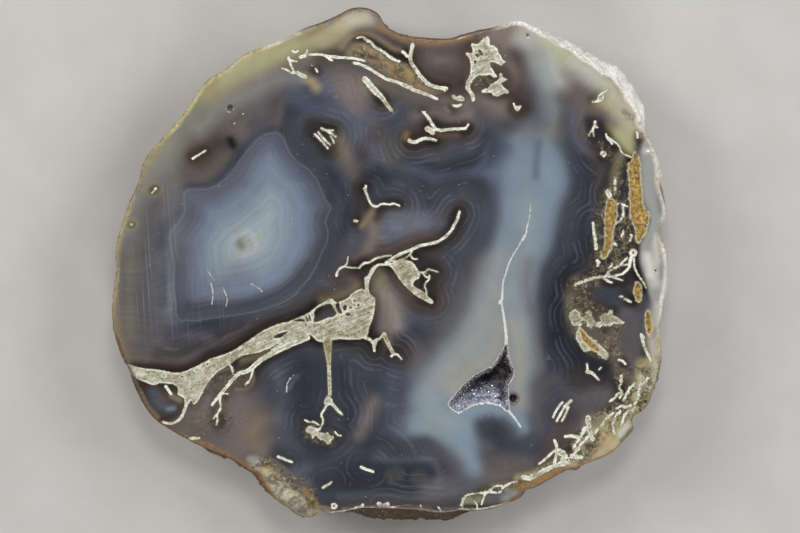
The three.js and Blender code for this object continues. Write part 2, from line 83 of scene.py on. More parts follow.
# Cream filaments that reach the polish: width at either end, how olive (0 to 1), and the path
strands = [
    # the long arm and what hangs from it
    (0.6, 0.5, 0.05, [(-0.8, 0), (1.7, 1.6), (4.1, 2.6), (6.2, 3.5), (9.6, 4.3), (11.9, 6.1), (13.3, 8.4),
     (13.9, 10.2)]),
    (0.3, 0.3, 0.1, [(4.7, 3), (3.9, 1.6), (2.2, 0.6), (0.4, 0.3)]),
    (0.3, 0.3, 0.1, [(4, 1.8), (4.6, 0.9), (5.4, 0.8)]),
    (0.4, 0.35, 0, [(-10.7, -2.6), (-10.5, -1.8), (-10, -1.1), (-9.2, -0.7)]),
    (0.3, 0.25, 0.55, [(-9.2, -0.7), (-8.6, 0), (-8.4, 1.2)]),
    (0.3, 0.25, 0.45, [(-9, -0.8), (-7.5, -0.95), (-6, -1)]),
    (0.45, 0.4, 0, [(-6, -0.75), (-5.6, -0.3), (-5, 0), (-4.1, 0.15), (-3.2, 0.7), (-2.2, 1.1)]),
    (0.35, 0.3, 0.6, [(-2.2, 1.1), (-1, 1.4), (0.2, 1.5)]),
    (0.35, 0.3, 0, [(7.3, -6.6), (7.2, -5.4), (6.9, -4.7), (7.2, -3.9), (7.8, -3.3), (7.9, -2.5)]),
    (0.35, 0.3, 0, [(6.2, -1.9), (6.7, -1.9), (7.1, -1.7)]),
    (0.35, 0.3, 0, [(6.7, -2.2), (7.2, -2.8), (7.7, -2.9)]),
    (0.3, 0.25, 0.45, [(7.2, -2), (7.6, -1.3), (8.3, -1.4), (9.6, -1.8)]),
    # the Y above the middle
    (0.45, 0.35, 0, [(-4.8, 15.4), (-4.9, 14.6), (-4.6, 13.6), (-4.1, 12.4), (-3.5, 11.5), (-2.6, 11.3),
     (-1.6, 11.8), (0, 11.7), (0.8, 11.9), (1.9, 11.4)]),
    (0.35, 0.3, 0, [(-5.2, 14.8), (-4.9, 14.6)]),
    (0.55, 0.45, 0, [(-7.1, 8.4), (-6.6, 8.35)]),
    # the T and its foot
    (1.9, 0.7, 0.85, [(-12.5, -15.2), (-12.4, -17.5), (-12.2, -20.5)]),
    (0.7, 0.7, 0.5, [(-12.2, -20.5), (-12.1, -23.5), (-12, -26.4)]),
    (1.4, 0.9, 0.1, [(-12.2, -27.6), (-12.6, -27.9), (-12.4, -27)]),
    (0.7, 0.5, 0.25, [(-12, -27.8), (-11.2, -28.6), (-10.4, -29.5), (-9.6, -30.3)]),
    (0.4, 0.35, 0.1, [(-12.6, -28.4), (-13.2, -29.4), (-13.7, -30.4), (-13.4, -31.4), (-13.7, -32.6),
     (-14.4, -33.4)]),
    (0.35, 0.3, 0.1, [(-17, -31.4), (-16.2, -31.8), (-15.2, -31.8), (-14.2, -32.4)]),
    (0.35, 0.3, 0.1, [(-11, -33.8), (-10.4, -34.4), (-9.8, -34.5)]),
    # feet under the middle
    (0.6, 0.45, 0.1, [(-4.9, -14.9), (-3.9, -15.4), (-3.3, -16.3), (-3.1, -17.6)]),
    (0.5, 0.4, 0.1, [(-2.6, -15.3), (-3, -16.4)]),
    (0.5, 0.4, 0.35, [(-3.2, -15.6), (-2.2, -15.2), (-1.4, -14.4)]),
    (0.9, 0.6, 0.55, [(-1.2, -14.3), (-0.5, -15.8), (0.2, -17.2), (0.8, -18.2)]),
    (0.5, 0.35, 0.15, [(0.3, -18.6), (0.9, -18.2), (1.6, -18.4), (2.3, -19.2)]),
    # lower strand of the root and its branches
    (0.9, 0.35, 0.4, [(-17.4, -14.9), (-20.6, -15.9), (-23.6, -17.3)]),
    (1.2, 0.95, 0.1, [(-16.6, -14.9), (-19, -15.9), (-21.5, -17), (-24, -18.3), (-26, -19.5)]),
    (0.95, 0.5, 0.1, [(-26, -19.5), (-27.3, -20.7), (-28.6, -21.6), (-30.2, -22.1), (-31.5, -23.4),
     (-33, -25.2), (-34.2, -26.6), (-35.6, -28.4)]),
    (0.45, 0.35, 0.1, [(-33.8, -26.2), (-34, -27.5), (-33.9, -28.8), (-34.4, -30), (-35.3, -31.1)]),
    (0.3, 0.25, 0.2, [(-34.5, -30.4), (-34.5, -31.4), (-34.7, -32.4)]),
    (0.3, 0.25, 0.2, [(-34, -26.4), (-33, -26.1), (-32.4, -26.2)]),
    (0.4, 0.35, 0.2, [(-27.4, -21.4), (-27.7, -22.6), (-28.2, -23.6), (-28.9, -24.4)]),
    (0.4, 0.3, 0.2, [(-32.2, -20.2), (-31.6, -21), (-31.4, -21.9)]),
    (0.6, 0.5, 0.15, [(-40.6, -27.8), (-41, -29.2), (-41.7, -30.8), (-42.8, -31.8), (-44.2, -32.1),
     (-45.4, -31.8)]),
    (0.6, 0.5, 0, [(-44.8, -24.7), (-44.3, -25.4), (-43.8, -26.2)]),
    # rods and dots
    (0.5, 0.45, 0.1, [(-22.4, -38.7), (-21.2, -39.2), (-19.6, -39.8)]),
    (0.5, 0.4, 0, [(-13.4, -44.9), (-12.4, -44.3), (-11.7, -43.8)]),
    (0.55, 0.5, 0, [(-5.8, -40.8), (-4.7, -41.3), (-3.4, -41.7)]),
    (0.6, 0.5, 0.1, [(-40, -35.1), (-38.2, -35)]),
    (0.5, 0.35, 0, [(-39.4, 20.9), (-38.3, 21.6)]),
    (0.35, 0.3, 0.35, [(-38.3, 21.6), (-36.8, 22.5)]),
    (0.5, 0.45, 0, [(-46.9, 14.8), (-46.8, 14.9)]),
    (0.3, 0.25, 0.4, [(-47, 14.6), (-47.6, 14)]),
    (0.6, 0.55, 0, [(-51.7, 7.7), (-51.6, 7.7)]),
    (0.3, 0.25, 0, [(-31.1, 27.9), (-31, 27.9)]),
    (0.25, 0.25, 0.2, [(-29.4, 29.8), (-29.3, 29.8)]),
    # antler, top left
    (0.45, 0.4, 0, [(-21.5, 38.9), (-20.5, 38.5), (-19.5, 38), (-18.4, 38.2)]),
    (0.7, 0.9, 0.35, [(-18.6, 38), (-17.8, 37.6), (-17, 37.2)]),
    (0.5, 0.4, 0.05, [(-20.3, 41), (-20, 40), (-19.7, 39.2), (-19.2, 38.2)]),
    (0.4, 0.35, 0.1, [(-20.3, 40.6), (-19.4, 40.4), (-18.6, 40.3)]),
    (0.5, 0.35, 0.15, [(-14.9, 38.8), (-14.5, 38.2)]),
    (0.7, 0.5, 0.05, [(-17.9, 41.2), (-17.2, 41.3), (-16.8, 41.7), (-16.6, 42.5)]),
    (0.5, 0.4, 0.2, [(-19.5, 42.4), (-18.9, 42.1), (-18.4, 42.4)]),
    # long strands, top
    (0.4, 0.5, 0.1, [(-16.2, 41.6), (-14.4, 41.7), (-12.6, 41.4), (-10.6, 41.2)]),
    (0.6, 0.4, 0.05, [(-12.6, 41.3), (-10.6, 41.1), (-8.4, 41), (-6.6, 40.8), (-5, 40.4)]),
    (0.4, 0.35, 0, [(-12.5, 41.2), (-12, 40.6), (-11.5, 40.5)]),
    (0.55, 0.6, 0.05, [(-7.2, 40), (-6, 39.7), (-4, 38.8), (-2, 37.5), (-0.5, 36.7), (1, 36.3),
     (2.5, 35.7)]),
    (0.8, 0.55, 0.05, [(2.5, 35.7), (4, 35), (5, 34.5), (6.5, 34), (8, 33.4), (9.4, 32.8)]),
    (0.35, 0.3, 0.35, [(-6.6, 45), (-5.6, 45.2), (-4.9, 44.9)]),
    (0.55, 0.45, 0, [(-5, 44.7), (-4, 44.2), (-3, 43.2), (-2, 42.6), (-1, 42), (0, 41.2), (1, 40.5),
     (1.9, 40.3)]),
    (0.6, 0.5, 0.05, [(2.5, 42.2), (2.9, 42), (3.4, 41.4), (3.9, 41.2)]),
    (0.7, 0.7, 0.15, [(4.5, 43.6), (4.3, 42.4), (4.1, 41.2), (4.2, 40.2), (5, 38.9), (6, 37.5), (7, 36.4),
     (8.2, 35.5), (9.5, 35.1), (11.3, 34.9)]),
    (0.4, 0.3, 0.1, [(10.6, 34.9), (11, 34.3)]),
    (1.2, 1.3, 0, [(-5, 36.7), (-4.4, 36.1), (-3.6, 35), (-2.8, 34.2)]),
    (1.2, 0.8, 0.15, [(-2.8, 34.2), (-1.9, 33.4), (-1.2, 32.5)]),
    (0.8, 0.6, 0.7, [(-1.2, 32.5), (-0.5, 31.5), (0.3, 30.5)]),
    # Z, top middle
    (0.5, 0.6, 0.05, [(6.7, 30.1), (7.2, 29.6), (7.7, 28.9), (8.2, 28.2), (8.6, 27.5), (9.2, 26.8)]),
    (1.1, 1, 0.15, [(7.5, 26.8), (8, 26.6), (8.5, 26.1)]),
    (0.6, 0.5, 0.05, [(8.8, 26.9), (10, 26.5), (11.6, 26.7), (13.4, 26.8), (15.1, 26.9)]),
    (0.45, 0.4, 0, [(15.1, 26.9), (15.4, 27.3), (15.7, 27.7)]),
    (0.7, 0.5, 0, [(3.8, 24.5), (4.4, 24.2), (5.2, 24.2), (6.2, 24.7), (7.2, 24.9), (8.2, 24.8),
     (9.2, 24.5)]),
    (0.3, 0.3, 0, [(7, 30.2), (6.5, 30.2)]),
    # three fingers, upper middle
    (0.4, 0.35, 0.1, [(-15.1, 25.8), (-14.2, 24.9), (-13.2, 23.8), (-12.4, 22.9)]),
    (0.45, 0.4, 0.1, [(-14.3, 26.1), (-13.6, 25.2), (-12.6, 24.2), (-12, 23.6)]),
    (0.45, 0.4, 0.1, [(-13.7, 26.9), (-12.8, 26.5), (-11.8, 25.9), (-10.8, 25.2)]),
    (0.4, 0.3, 0.4, [(-12.4, 26.5), (-11.4, 26.5)]),
    (0.35, 0.3, 0.35, [(-11.9, 25.4), (-11.4, 24.6), (-11.2, 24)]),
    # right: along the moss
    (0.55, 0.4, 0, [(41, 28.2), (40.9, 27.3), (40.5, 26.7), (40.6, 26), (40.7, 25.5)]),
    (0.35, 0.3, 0.1, [(40.9, 27.3), (41.5, 27.1)]),
    (0.35, 0.3, 0.3, [(40.4, 26.6), (39.8, 25.6)]),
    (0.35, 0.35, 0.1, [(43.2, 25.8), (43.4, 25), (44, 24.3), (44.4, 23.8)]),
    (0.35, 0.35, 0.1, [(43.6, 25.2), (44.6, 24.4), (45.3, 23.9), (45.9, 23.2), (46.3, 22.2), (47.4, 21.5),
     (48.2, 21.2)]),
    (0.5, 0.45, 0.1, [(42.2, 21.8), (42.7, 22.2), (43.1, 21.8), (42.7, 21.4)]),
    (0.6, 0.55, 0.05, [(51.4, 22.4), (51.7, 22.4)]),
    (0.5, 0.4, 0.05, [(49.4, 26.2), (49.5, 25.1)]),
    (0.45, 0.4, 0.2, [(45, 17), (45, 15.6), (45, 14.7)]),
    (1.1, 0.9, 0.1, [(43.6, 14.2), (43.9, 13.4)]),
    (0.4, 0.35, 0, [(45.3, 11.7), (46.2, 12), (46.6, 11.6), (47.5, 11.3)]),
    (0.4, 0.35, 0, [(46.6, 11.6), (46.7, 10.5), (46.4, 9.2), (45.8, 8.3), (45, 8)]),
    (0.45, 0.65, 0.15, [(40.6, 8), (40.8, 6), (41.1, 4.2), (41.2, 2.9)]),
    (0.6, 0.55, 0.1, [(41.6, 0.4), (41.6, -0.4)]),
    (0.55, 0.5, 0.05, [(44.9, 3.9), (45.2, 3.6)]),
    (0.45, 0.4, 0.1, [(46.6, 6.2), (46.4, 5.2)]),
    (0.6, 0.5, 0.1, [(48.3, 5.4), (48, 4.6)]),
    (0.6, 0.5, 0.05, [(48.4, 2.6), (49.1, 2.3), (49, 1.6), (48.3, 1.6), (48.2, 2.3)]),
    (0.6, 0.45, 0, [(48.3, 1.4), (48, 0.4), (47.9, -0.6), (47.2, -1.6), (46.4, -2.2)]),
    (0.4, 0.35, 0.1, [(47.4, 1), (46.8, 0.4), (46.3, -0.2)]),
    (0.35, 0.3, 0.25, [(48.8, 1), (48.9, -0.8), (49.6, -2.4), (50.6, -3.8), (51.2, -5)]),
    (0.35, 0.35, 0.35, [(47.5, -0.3), (46.2, -0.5), (45, -0.9), (43.9, -1.6), (43.2, -2.4)]),
    (0.45, 0.35, 0, [(44.3, -0.4), (43.8, -0.9)]),
    (0.4, 0.45, 0.25, [(46.4, -2.2), (45.2, -2.5), (44, -2.7), (42.8, -2.7)]),
    (0.5, 0.4, 0.05, [(42.6, -2.9), (43.6, -3.6), (44.3, -3.9)]),
    (0.35, 0.3, 0.35, [(44.6, -2.9), (45.6, -3.2), (46.5, -3.5)]),
    (0.5, 0.45, 0.45, [(42.6, -2.8), (41.2, -2.9), (39.8, -3.2), (38.4, -3.8), (37, -4.4)]),
    (0.5, 0.4, 0.1, [(46.9, -7.2), (47.6, -7.5), (48.2, -7.8)]),
    (0.4, 0.35, 0.05, [(46, -6.7), (46.5, -6.7)]),
    (0.45, 0.4, 0, [(39.4, -20.2), (39.5, -21.6)]),
    (0.7, 0.35, 0.05, [(39.4, -21.8), (40.4, -22), (41.1, -22.7), (41.8, -23.4)]),
    (0.3, 0.25, 0, [(41.8, -21.3), (42.2, -20.9)]),
    (0.5, 0.4, 0.05, [(45.8, -19.4), (46.5, -19.6), (47.1, -20.2)]),
    (0.6, 0.5, 0.2, [(50.2, -14.3), (50.5, -15.6), (51, -17), (51.6, -18.4), (52.2, -19.6)]),
    (0.35, 0.3, 0.05, [(50.2, -14.2), (50.9, -14.9)]),
    # right, lower: the network
    (0.5, 0.45, 0.1, [(46.3, -22.6), (46.2, -23.8), (45.9, -25), (46.4, -26), (46, -27)]),
    (0.5, 0.45, 0.05, [(48.9, -24.2), (48, -25), (47.3, -26.2), (46.7, -27.4)]),
    (0.5, 0.45, 0.1, [(50, -24), (49.8, -25.4), (49.6, -26.8), (49, -28.2), (48.4, -29.6)]),
    (0.5, 0.4, 0.1, [(44, -27.6), (44.9, -27), (45.5, -26.2), (46.4, -26)]),
    (0.4, 0.4, 0.2, [(51.4, -23), (50.8, -24), (50, -24.6)]),
    (0.4, 0.4, 0.2, [(48.2, -28.4), (47.2, -28.8), (46.2, -28.6), (45.2, -29.2)]),
    (0.5, 0.4, 0.05, [(34.4, -27.9), (33.4, -29.2), (32.6, -30.8)]),
    (0.5, 0.4, 0.05, [(35, -28.6), (34.2, -30), (33.3, -31.6)]),
    (0.5, 0.4, 0.05, [(35.6, -28.8), (35.1, -30.2), (34.4, -31.6)]),
    (0.6, 0.5, 0.4, [(36.2, -27.5), (35.2, -28.4)]),
    (0.6, 0.5, 0.05, [(35.1, -34.7), (36.3, -34.6), (37.6, -34.8)]),
    (0.6, 0.55, 0.05, [(32.9, -35.5), (33.3, -36.6), (33.3, -38), (33, -39.4), (32.6, -40.8)]),
    (0.5, 0.4, 0.1, [(32.8, -37.6), (31.4, -38.9), (29.8, -40.2)]),
    (1.1, 0.8, 0.1, [(39.6, -31), (39.7, -32.4), (40, -34), (40.5, -35.2)]),
    (0.6, 0.5, 0.05, [(39, -32.8), (38.3, -34.3), (37.4, -35.8), (36.6, -37.2)]),
    (0.6, 0.5, 0.1, [(40.2, -34.2), (38.8, -35.6), (37.5, -37.2), (36.6, -38.6)]),
    (0.5, 0.45, 0.1, [(44.4, -30), (43.2, -31.2), (42.2, -32.4), (41, -33.8), (40, -35)]),
    (0.45, 0.4, 0.15, [(46, -29.6), (44.9, -31), (44.6, -32.6), (44.9, -34.2)]),
    (0.45, 0.4, 0.15, [(47.8, -29.4), (46.6, -31), (46.2, -32.6)]),
    (1.3, 0.9, 0.1, [(34, -37.8), (34.9, -38.6), (34.6, -39.6)]),
    (0.9, 0.7, 0.15, [(36.4, -38.6), (37.4, -38.8), (38.3, -38.9)]),
    (0.9, 0.8, 0.15, [(26.5, -42.8), (28, -43), (29.6, -42.2), (31.2, -41.3), (33, -40.5), (34.6, -40.2),
     (35.8, -39.8)]),
    (0.35, 0.35, 0.1, [(14.2, -48.5), (14.6, -47.2), (15.4, -46.4), (17, -46.1), (18.6, -45.9),
     (20.2, -45.3), (21, -44.6), (22.2, -44.5)]),
    (0.4, 0.35, 0.1, [(18.8, -46), (20.4, -45.8), (21.8, -45.9), (22.6, -45), (23.6, -44.2),
     (25.2, -43.7)]),
    (0.35, 0.3, 0.1, [(19, -46.1), (18.6, -47.4), (18.3, -48.3)]),
    (0.35, 0.3, 0.1, [(15, -46.6), (14.6, -48), (14.4, -49)]),
    (0.35, 0.4, 0.15, [(14, -49.2), (16, -49.3), (18, -49.2), (21, -48.7), (24, -47.7)]),
    (0.3, 0.3, 0.1, [(16.9, -47.6), (17.4, -48.4), (17.4, -49.2)]),
    # bottom rim
    (0.45, 0.4, 0.1, [(-11.6, -48.4), (-11.2, -48.2), (-10.7, -48.5), (-10.9, -49), (-11.5, -49),
     (-11.6, -48.5)]),
    (0.6, 0.5, 0.15, [(-6.8, -49), (-5.8, -48.7), (-5.4, -48.3)]),
    (0.35, 0.3, 0.2, [(-14.5, -49.6), (-12.2, -49.9), (-9.5, -49.6), (-6.5, -49), (-3, -48.9),
     (0.5, -48.8), (3, -49.1), (6, -49.2), (9, -49.7), (12, -49.6), (14, -49.2)]),
    (0.9, 0.9, 0.1, [(-2.2, -48.2), (-1.4, -48.6), (-0.5, -48.2)]),
    (0.3, 0.25, 0.1, [(6.1, -48.5), (6.3, -49.1)]),
    (0.3, 0.25, 0.1, [(9.6, -48.8), (10.2, -49.5)]),
]

# Cream sheets: how olive, the outline, and the windows in it
sheets = [
    (0.3, [(-52.8, -20.3), (-51, -20.7), (-49, -21.1), (-46, -21.4), (-43.5, -21.9), (-41.5, -21.8),
     (-39.5, -21), (-37.5, -20), (-35.5, -19), (-33.5, -18.4), (-31.5, -17.6), (-29.5, -16.3),
     (-27.5, -15), (-25.5, -13.6), (-23.5, -12.7), (-22, -12.1), (-20.4, -11.8), (-19, -11.2),
     (-17.5, -10.6), (-16, -9.8), (-14.5, -8.6), (-13, -7.7), (-12.2, -7.2), (-11.4, -7.3), (-11, -7.8),
     (-10, -7.7), (-9.2, -7.4), (-8.3, -6.9), (-7.6, -6.1), (-6.8, -5.6), (-5.7, -5.1), (-5.1, -5.4),
     (-5, -4.6), (-5.1, -3.4), (-5.1, -2.9), (-4.4, -2.5), (-3.9, -1.4), (-3.1, -0.5), (-2, -0.1),
     (-0.9, -0.1), (-0.2, 0.2), (-0.3, -0.5), (-1.9, -0.5), (-2.8, -1), (-3.3, -1.9), (-3.9, -3),
     (-4.2, -3.9), (-4.3, -5.2), (-3.8, -6.4), (-3, -7), (-3, -8.5), (-3.2, -10), (-3.6, -11.5),
     (-4.2, -13), (-4.5, -14.3), (-4.9, -14.9), (-6, -15.2), (-8, -15.3), (-10, -15.2), (-11.4, -15.4),
     (-13.4, -15.8), (-14.6, -15.5), (-15.2, -15), (-15.7, -14.5), (-16.2, -14.3), (-17, -14.7),
     (-18.5, -15.3), (-20, -15.8), (-21.6, -16.3), (-22.4, -16.2), (-24, -17), (-25, -17.4),
     (-26.2, -17.9), (-28.4, -18.3), (-29.8, -18.6), (-31.6, -19.9), (-33, -20.9), (-34.5, -21.8),
     (-36.3, -23.8), (-37.5, -26), (-38.4, -27.6), (-39.2, -28.3), (-39.7, -27.4), (-40.4, -28.4),
     (-41, -28.2), (-41.2, -27), (-42.4, -26.3), (-42.4, -25), (-43.2, -24.3), (-44.5, -24.1), (-46, -24),
     (-47, -24.4), (-48, -24.2), (-50, -23.4), (-51, -22.8), (-52.4, -21.8)], [[(-15.2, -9.8),
     (-14.4, -8.9), (-13, -8.3), (-12, -8.1), (-11.6, -8.4), (-11.2, -9.2), (-10.7, -10), (-11.2, -10.7),
     (-12.5, -11), (-14, -11.6), (-15.3, -11.8), (-15.1, -10.8)], [(-10.9, -8.3), (-10.1, -8), (-10, -9),
     (-9.5, -9.9), (-9.8, -10.2), (-10.5, -9.7)], [(-19.2, -11.6), (-17.8, -11.1), (-17.1, -11.3),
     (-17.1, -11.65), (-18.2, -11.7)], [(-16.95, -10.75), (-16.7, -10.65), (-16.15, -11.6),
     (-16.45, -11.75)], [(-16.35, -10.4), (-16.1, -10.3), (-15.75, -11.5), (-15.95, -11.7)], [(-8.9, -10),
     (-8.2, -9.9), (-7.8, -10.2), (-8.2, -10.6), (-8.9, -10.5)], [(-8.2, -8.9), (-7.6, -8.7), (-7.5, -9.1),
     (-8, -9.2)], [(-6.6, -8.3), (-6.1, -8.1), (-6.1, -8.6), (-6.5, -8.7)], [(-9.4, -8.7), (-8.8, -8.3),
     (-8.6, -9.2), (-9.2, -9.6)], [(-7.4, -7.5), (-6.8, -7.3), (-7, -7.9)], [(-23.4, -14.8),
     (-22.5, -14.2), (-21.3, -13.8), (-20.4, -13.7), (-21, -14.3), (-21.8, -14.9), (-23, -15)],
     [(-42, -22.6), (-41.3, -22.6), (-41.6, -22.9)], [(-36.8, -20.1), (-36.2, -20), (-36.5, -20.5)],
     [(-45.6, -22.6), (-44.9, -22.5), (-45.2, -22.8)], [(-39, -21.4), (-38.3, -21), (-38.5, -21.5)]]),
    (0.25, [(-0.3, -0.2), (1.6, 0.3), (3.4, 0.5), (4.7, -0.1), (5.6, -1.4), (6, -2.6), (5.6, -3.2),
     (4.9, -3.5), (4.6, -4.4), (5.4, -5), (6.6, -5.7), (7.4, -6.6), (8.4, -7.4), (8.6, -8), (8, -8.1),
     (6.9, -7.5), (5.6, -6.8), (4.5, -6), (3.3, -4.9), (2.2, -3.7), (1.2, -2.2), (0.4, -1)], []),
    (0.1, [(16.4, 44), (17.2, 43.7), (18, 44), (18.6, 44.8), (19.5, 45.3), (20, 44.3), (19.9, 43.6),
     (20.8, 43.4), (21.6, 42.6), (21.6, 42), (22.2, 41.4), (22.4, 40.8), (23.2, 40.2), (22.6, 39.9),
     (22.3, 39.4), (21.4, 39.9), (20, 40.2), (20.3, 39), (20.8, 38.2), (21.4, 37.3), (20.9, 37.1),
     (19.9, 37.7), (18.9, 37.5), (17.9, 37.6), (17, 37), (16.3, 36.2), (16, 35.4), (16.2, 34.6),
     (16.8, 33.7), (17, 32.6), (16.4, 32.3), (16.2, 33.2), (15.7, 34.2), (15.1, 34.8), (15.2, 35.8),
     (15.5, 36.8), (16, 37.6), (16.1, 38.8), (16.1, 40), (15.8, 41), (15.1, 41.8), (15.5, 42.1),
     (16.3, 41.8), (16.6, 42.6), (16.3, 43.3)], [[(16.7, 40.5), (17.2, 40.4), (17.3, 39.9), (16.8, 39.8)],
     [(17, 41.7), (17.6, 41.9), (17.9, 41.3), (17.4, 41)], [(17.6, 42.6), (18.2, 42.6), (18.6, 41.6),
     (18.2, 41.4)]]),
    (0.15, [(21.9, 37.9), (22.5, 37.7), (22.6, 37), (23.5, 36.7), (22.8, 36.3), (22.3, 35.9), (22.6, 35.3),
     (23.2, 34.7), (23.8, 34.1), (22.6, 33.8), (21.6, 33.3), (20.6, 33.5), (20.2, 34.1), (19, 34),
     (18.3, 34.1), (18.6, 34.7), (19.5, 34.9), (20, 35.6), (21, 36.1), (21.6, 36.6), (21.9, 37.2)], []),
    (0.15, [(12.2, 33.3), (12.8, 33.7), (13.3, 33.2), (14, 33.5), (14.9, 32.9), (14.9, 32.4), (14, 32.4),
     (13.2, 32.6)], []),
    (0.2, [(12.4, 31.7), (13.4, 31.6), (14.3, 31.9), (14.4, 31.4), (13.4, 31.1), (12.6, 31.3)], []),
    (0, [(24.5, 32.1), (24.9, 32), (25, 31.3), (25.5, 31.4), (26.2, 31.5), (26.1, 31), (25.7, 30.5),
     (25.3, 30.3), (24.9, 30.9)], []),
    (0.35, [(-16.8, -33.2), (-16.2, -32.7), (-15.4, -32.7), (-14.7, -33.2), (-14.2, -33.8), (-13.2, -34.1),
     (-12.4, -33.9), (-11.9, -34.5), (-11.4, -34.6), (-11.2, -35.2), (-11.8, -35.4), (-11.9, -36),
     (-12.6, -36.2), (-13.2, -35.5), (-14, -35.2), (-14.4, -34.6), (-15, -34.4), (-15.5, -35.1),
     (-15.8, -34.2), (-16.6, -33.9)], []),
    (0.2, [(41.5, 33.3), (42.2, 34), (43.5, 34.8), (43.1, 33.9), (42.8, 33.1), (42.6, 32.4), (41.6, 32.1),
     (40.3, 32), (40.3, 32.4), (41.3, 32.5)], []),
    (0.2, [(36, -10), (37, -9.2), (37.8, -9.8), (38.2, -10.9), (39, -10.6), (39.5, -9.5), (40.2, -9.8),
     (40.5, -10.7), (41, -11.8), (40.6, -12.8), (39.8, -12.9), (39.2, -11.8), (38.5, -11.5), (37.9, -12.6),
     (36.7, -12.4), (35.9, -11.2)], []),
    (0.2, [(41.8, -10.8), (42.7, -10.1), (43.6, -10.2), (43.8, -9.5), (44.5, -9.4), (44.6, -10.4),
     (45.4, -10.9), (46.9, -11.9), (46, -12.2), (44.9, -12), (43.9, -12.6), (42.7, -12.5), (41.4, -12.9),
     (41.2, -12), (42.2, -11.6)], []),
    (0.4, [(37.3, -14), (38, -13), (38.7, -13.7), (39.6, -14.4), (40.8, -15.3), (42, -16.4), (42.9, -17.3),
     (43.7, -18.2), (43.2, -19.4), (42.2, -18.7), (41.2, -17.9), (40, -17.4), (39, -17.8), (38.2, -17),
     (37.7, -15.9), (37.2, -15)], []),
]

# Ochre fillings, worn a little below the polish
ochres = [
    [(48.9, 22), (49.5, 21.2), (49.8, 20), (49.8, 18.4), (50.2, 15), (50.4, 12.4), (50.5, 11.2),
     (51.4, 10.3), (51.7, 9.6), (51.5, 8.2), (50.9, 6.2), (50.3, 5), (49.7, 4), (49.4, 4.6), (49.3, 6.2),
     (48.7, 8), (48.1, 9.6), (48.2, 10.8), (48.1, 12), (48, 15.5), (47.9, 17), (47.8, 19), (47.9, 19.9),
     (48.6, 20.4), (48.6, 21.2)],
    [(43.6, 12.4), (44.4, 12.6), (45, 11.8), (45.2, 10), (45.1, 8.6), (44.7, 7.6), (44.4, 5.6),
     (44.3, 3.6), (43.8, 2.4), (43.2, 1.4), (42.5, 1.2), (42.3, 2), (42.8, 3), (43.1, 4.6), (43.1, 8.4),
     (43.3, 11.2)],
    [(49.3, -4.1), (49.9, -4.2), (50.2, -5.3), (50.1, -6.8), (49.7, -7.7), (49.2, -6.8), (48.9, -5.5)],
    [(51.3, -9.9), (51.9, -9.9), (52.2, -11.5), (52.2, -13.5), (51.9, -14.6), (51.5, -13.8), (51.2, -12)],
    [(38, -13.3), (38.7, -13.9), (39.8, -15.2), (41, -16.3), (41.9, -17.6), (41.2, -17.6), (39.8, -16.7),
     (38.6, -15.4)],
]

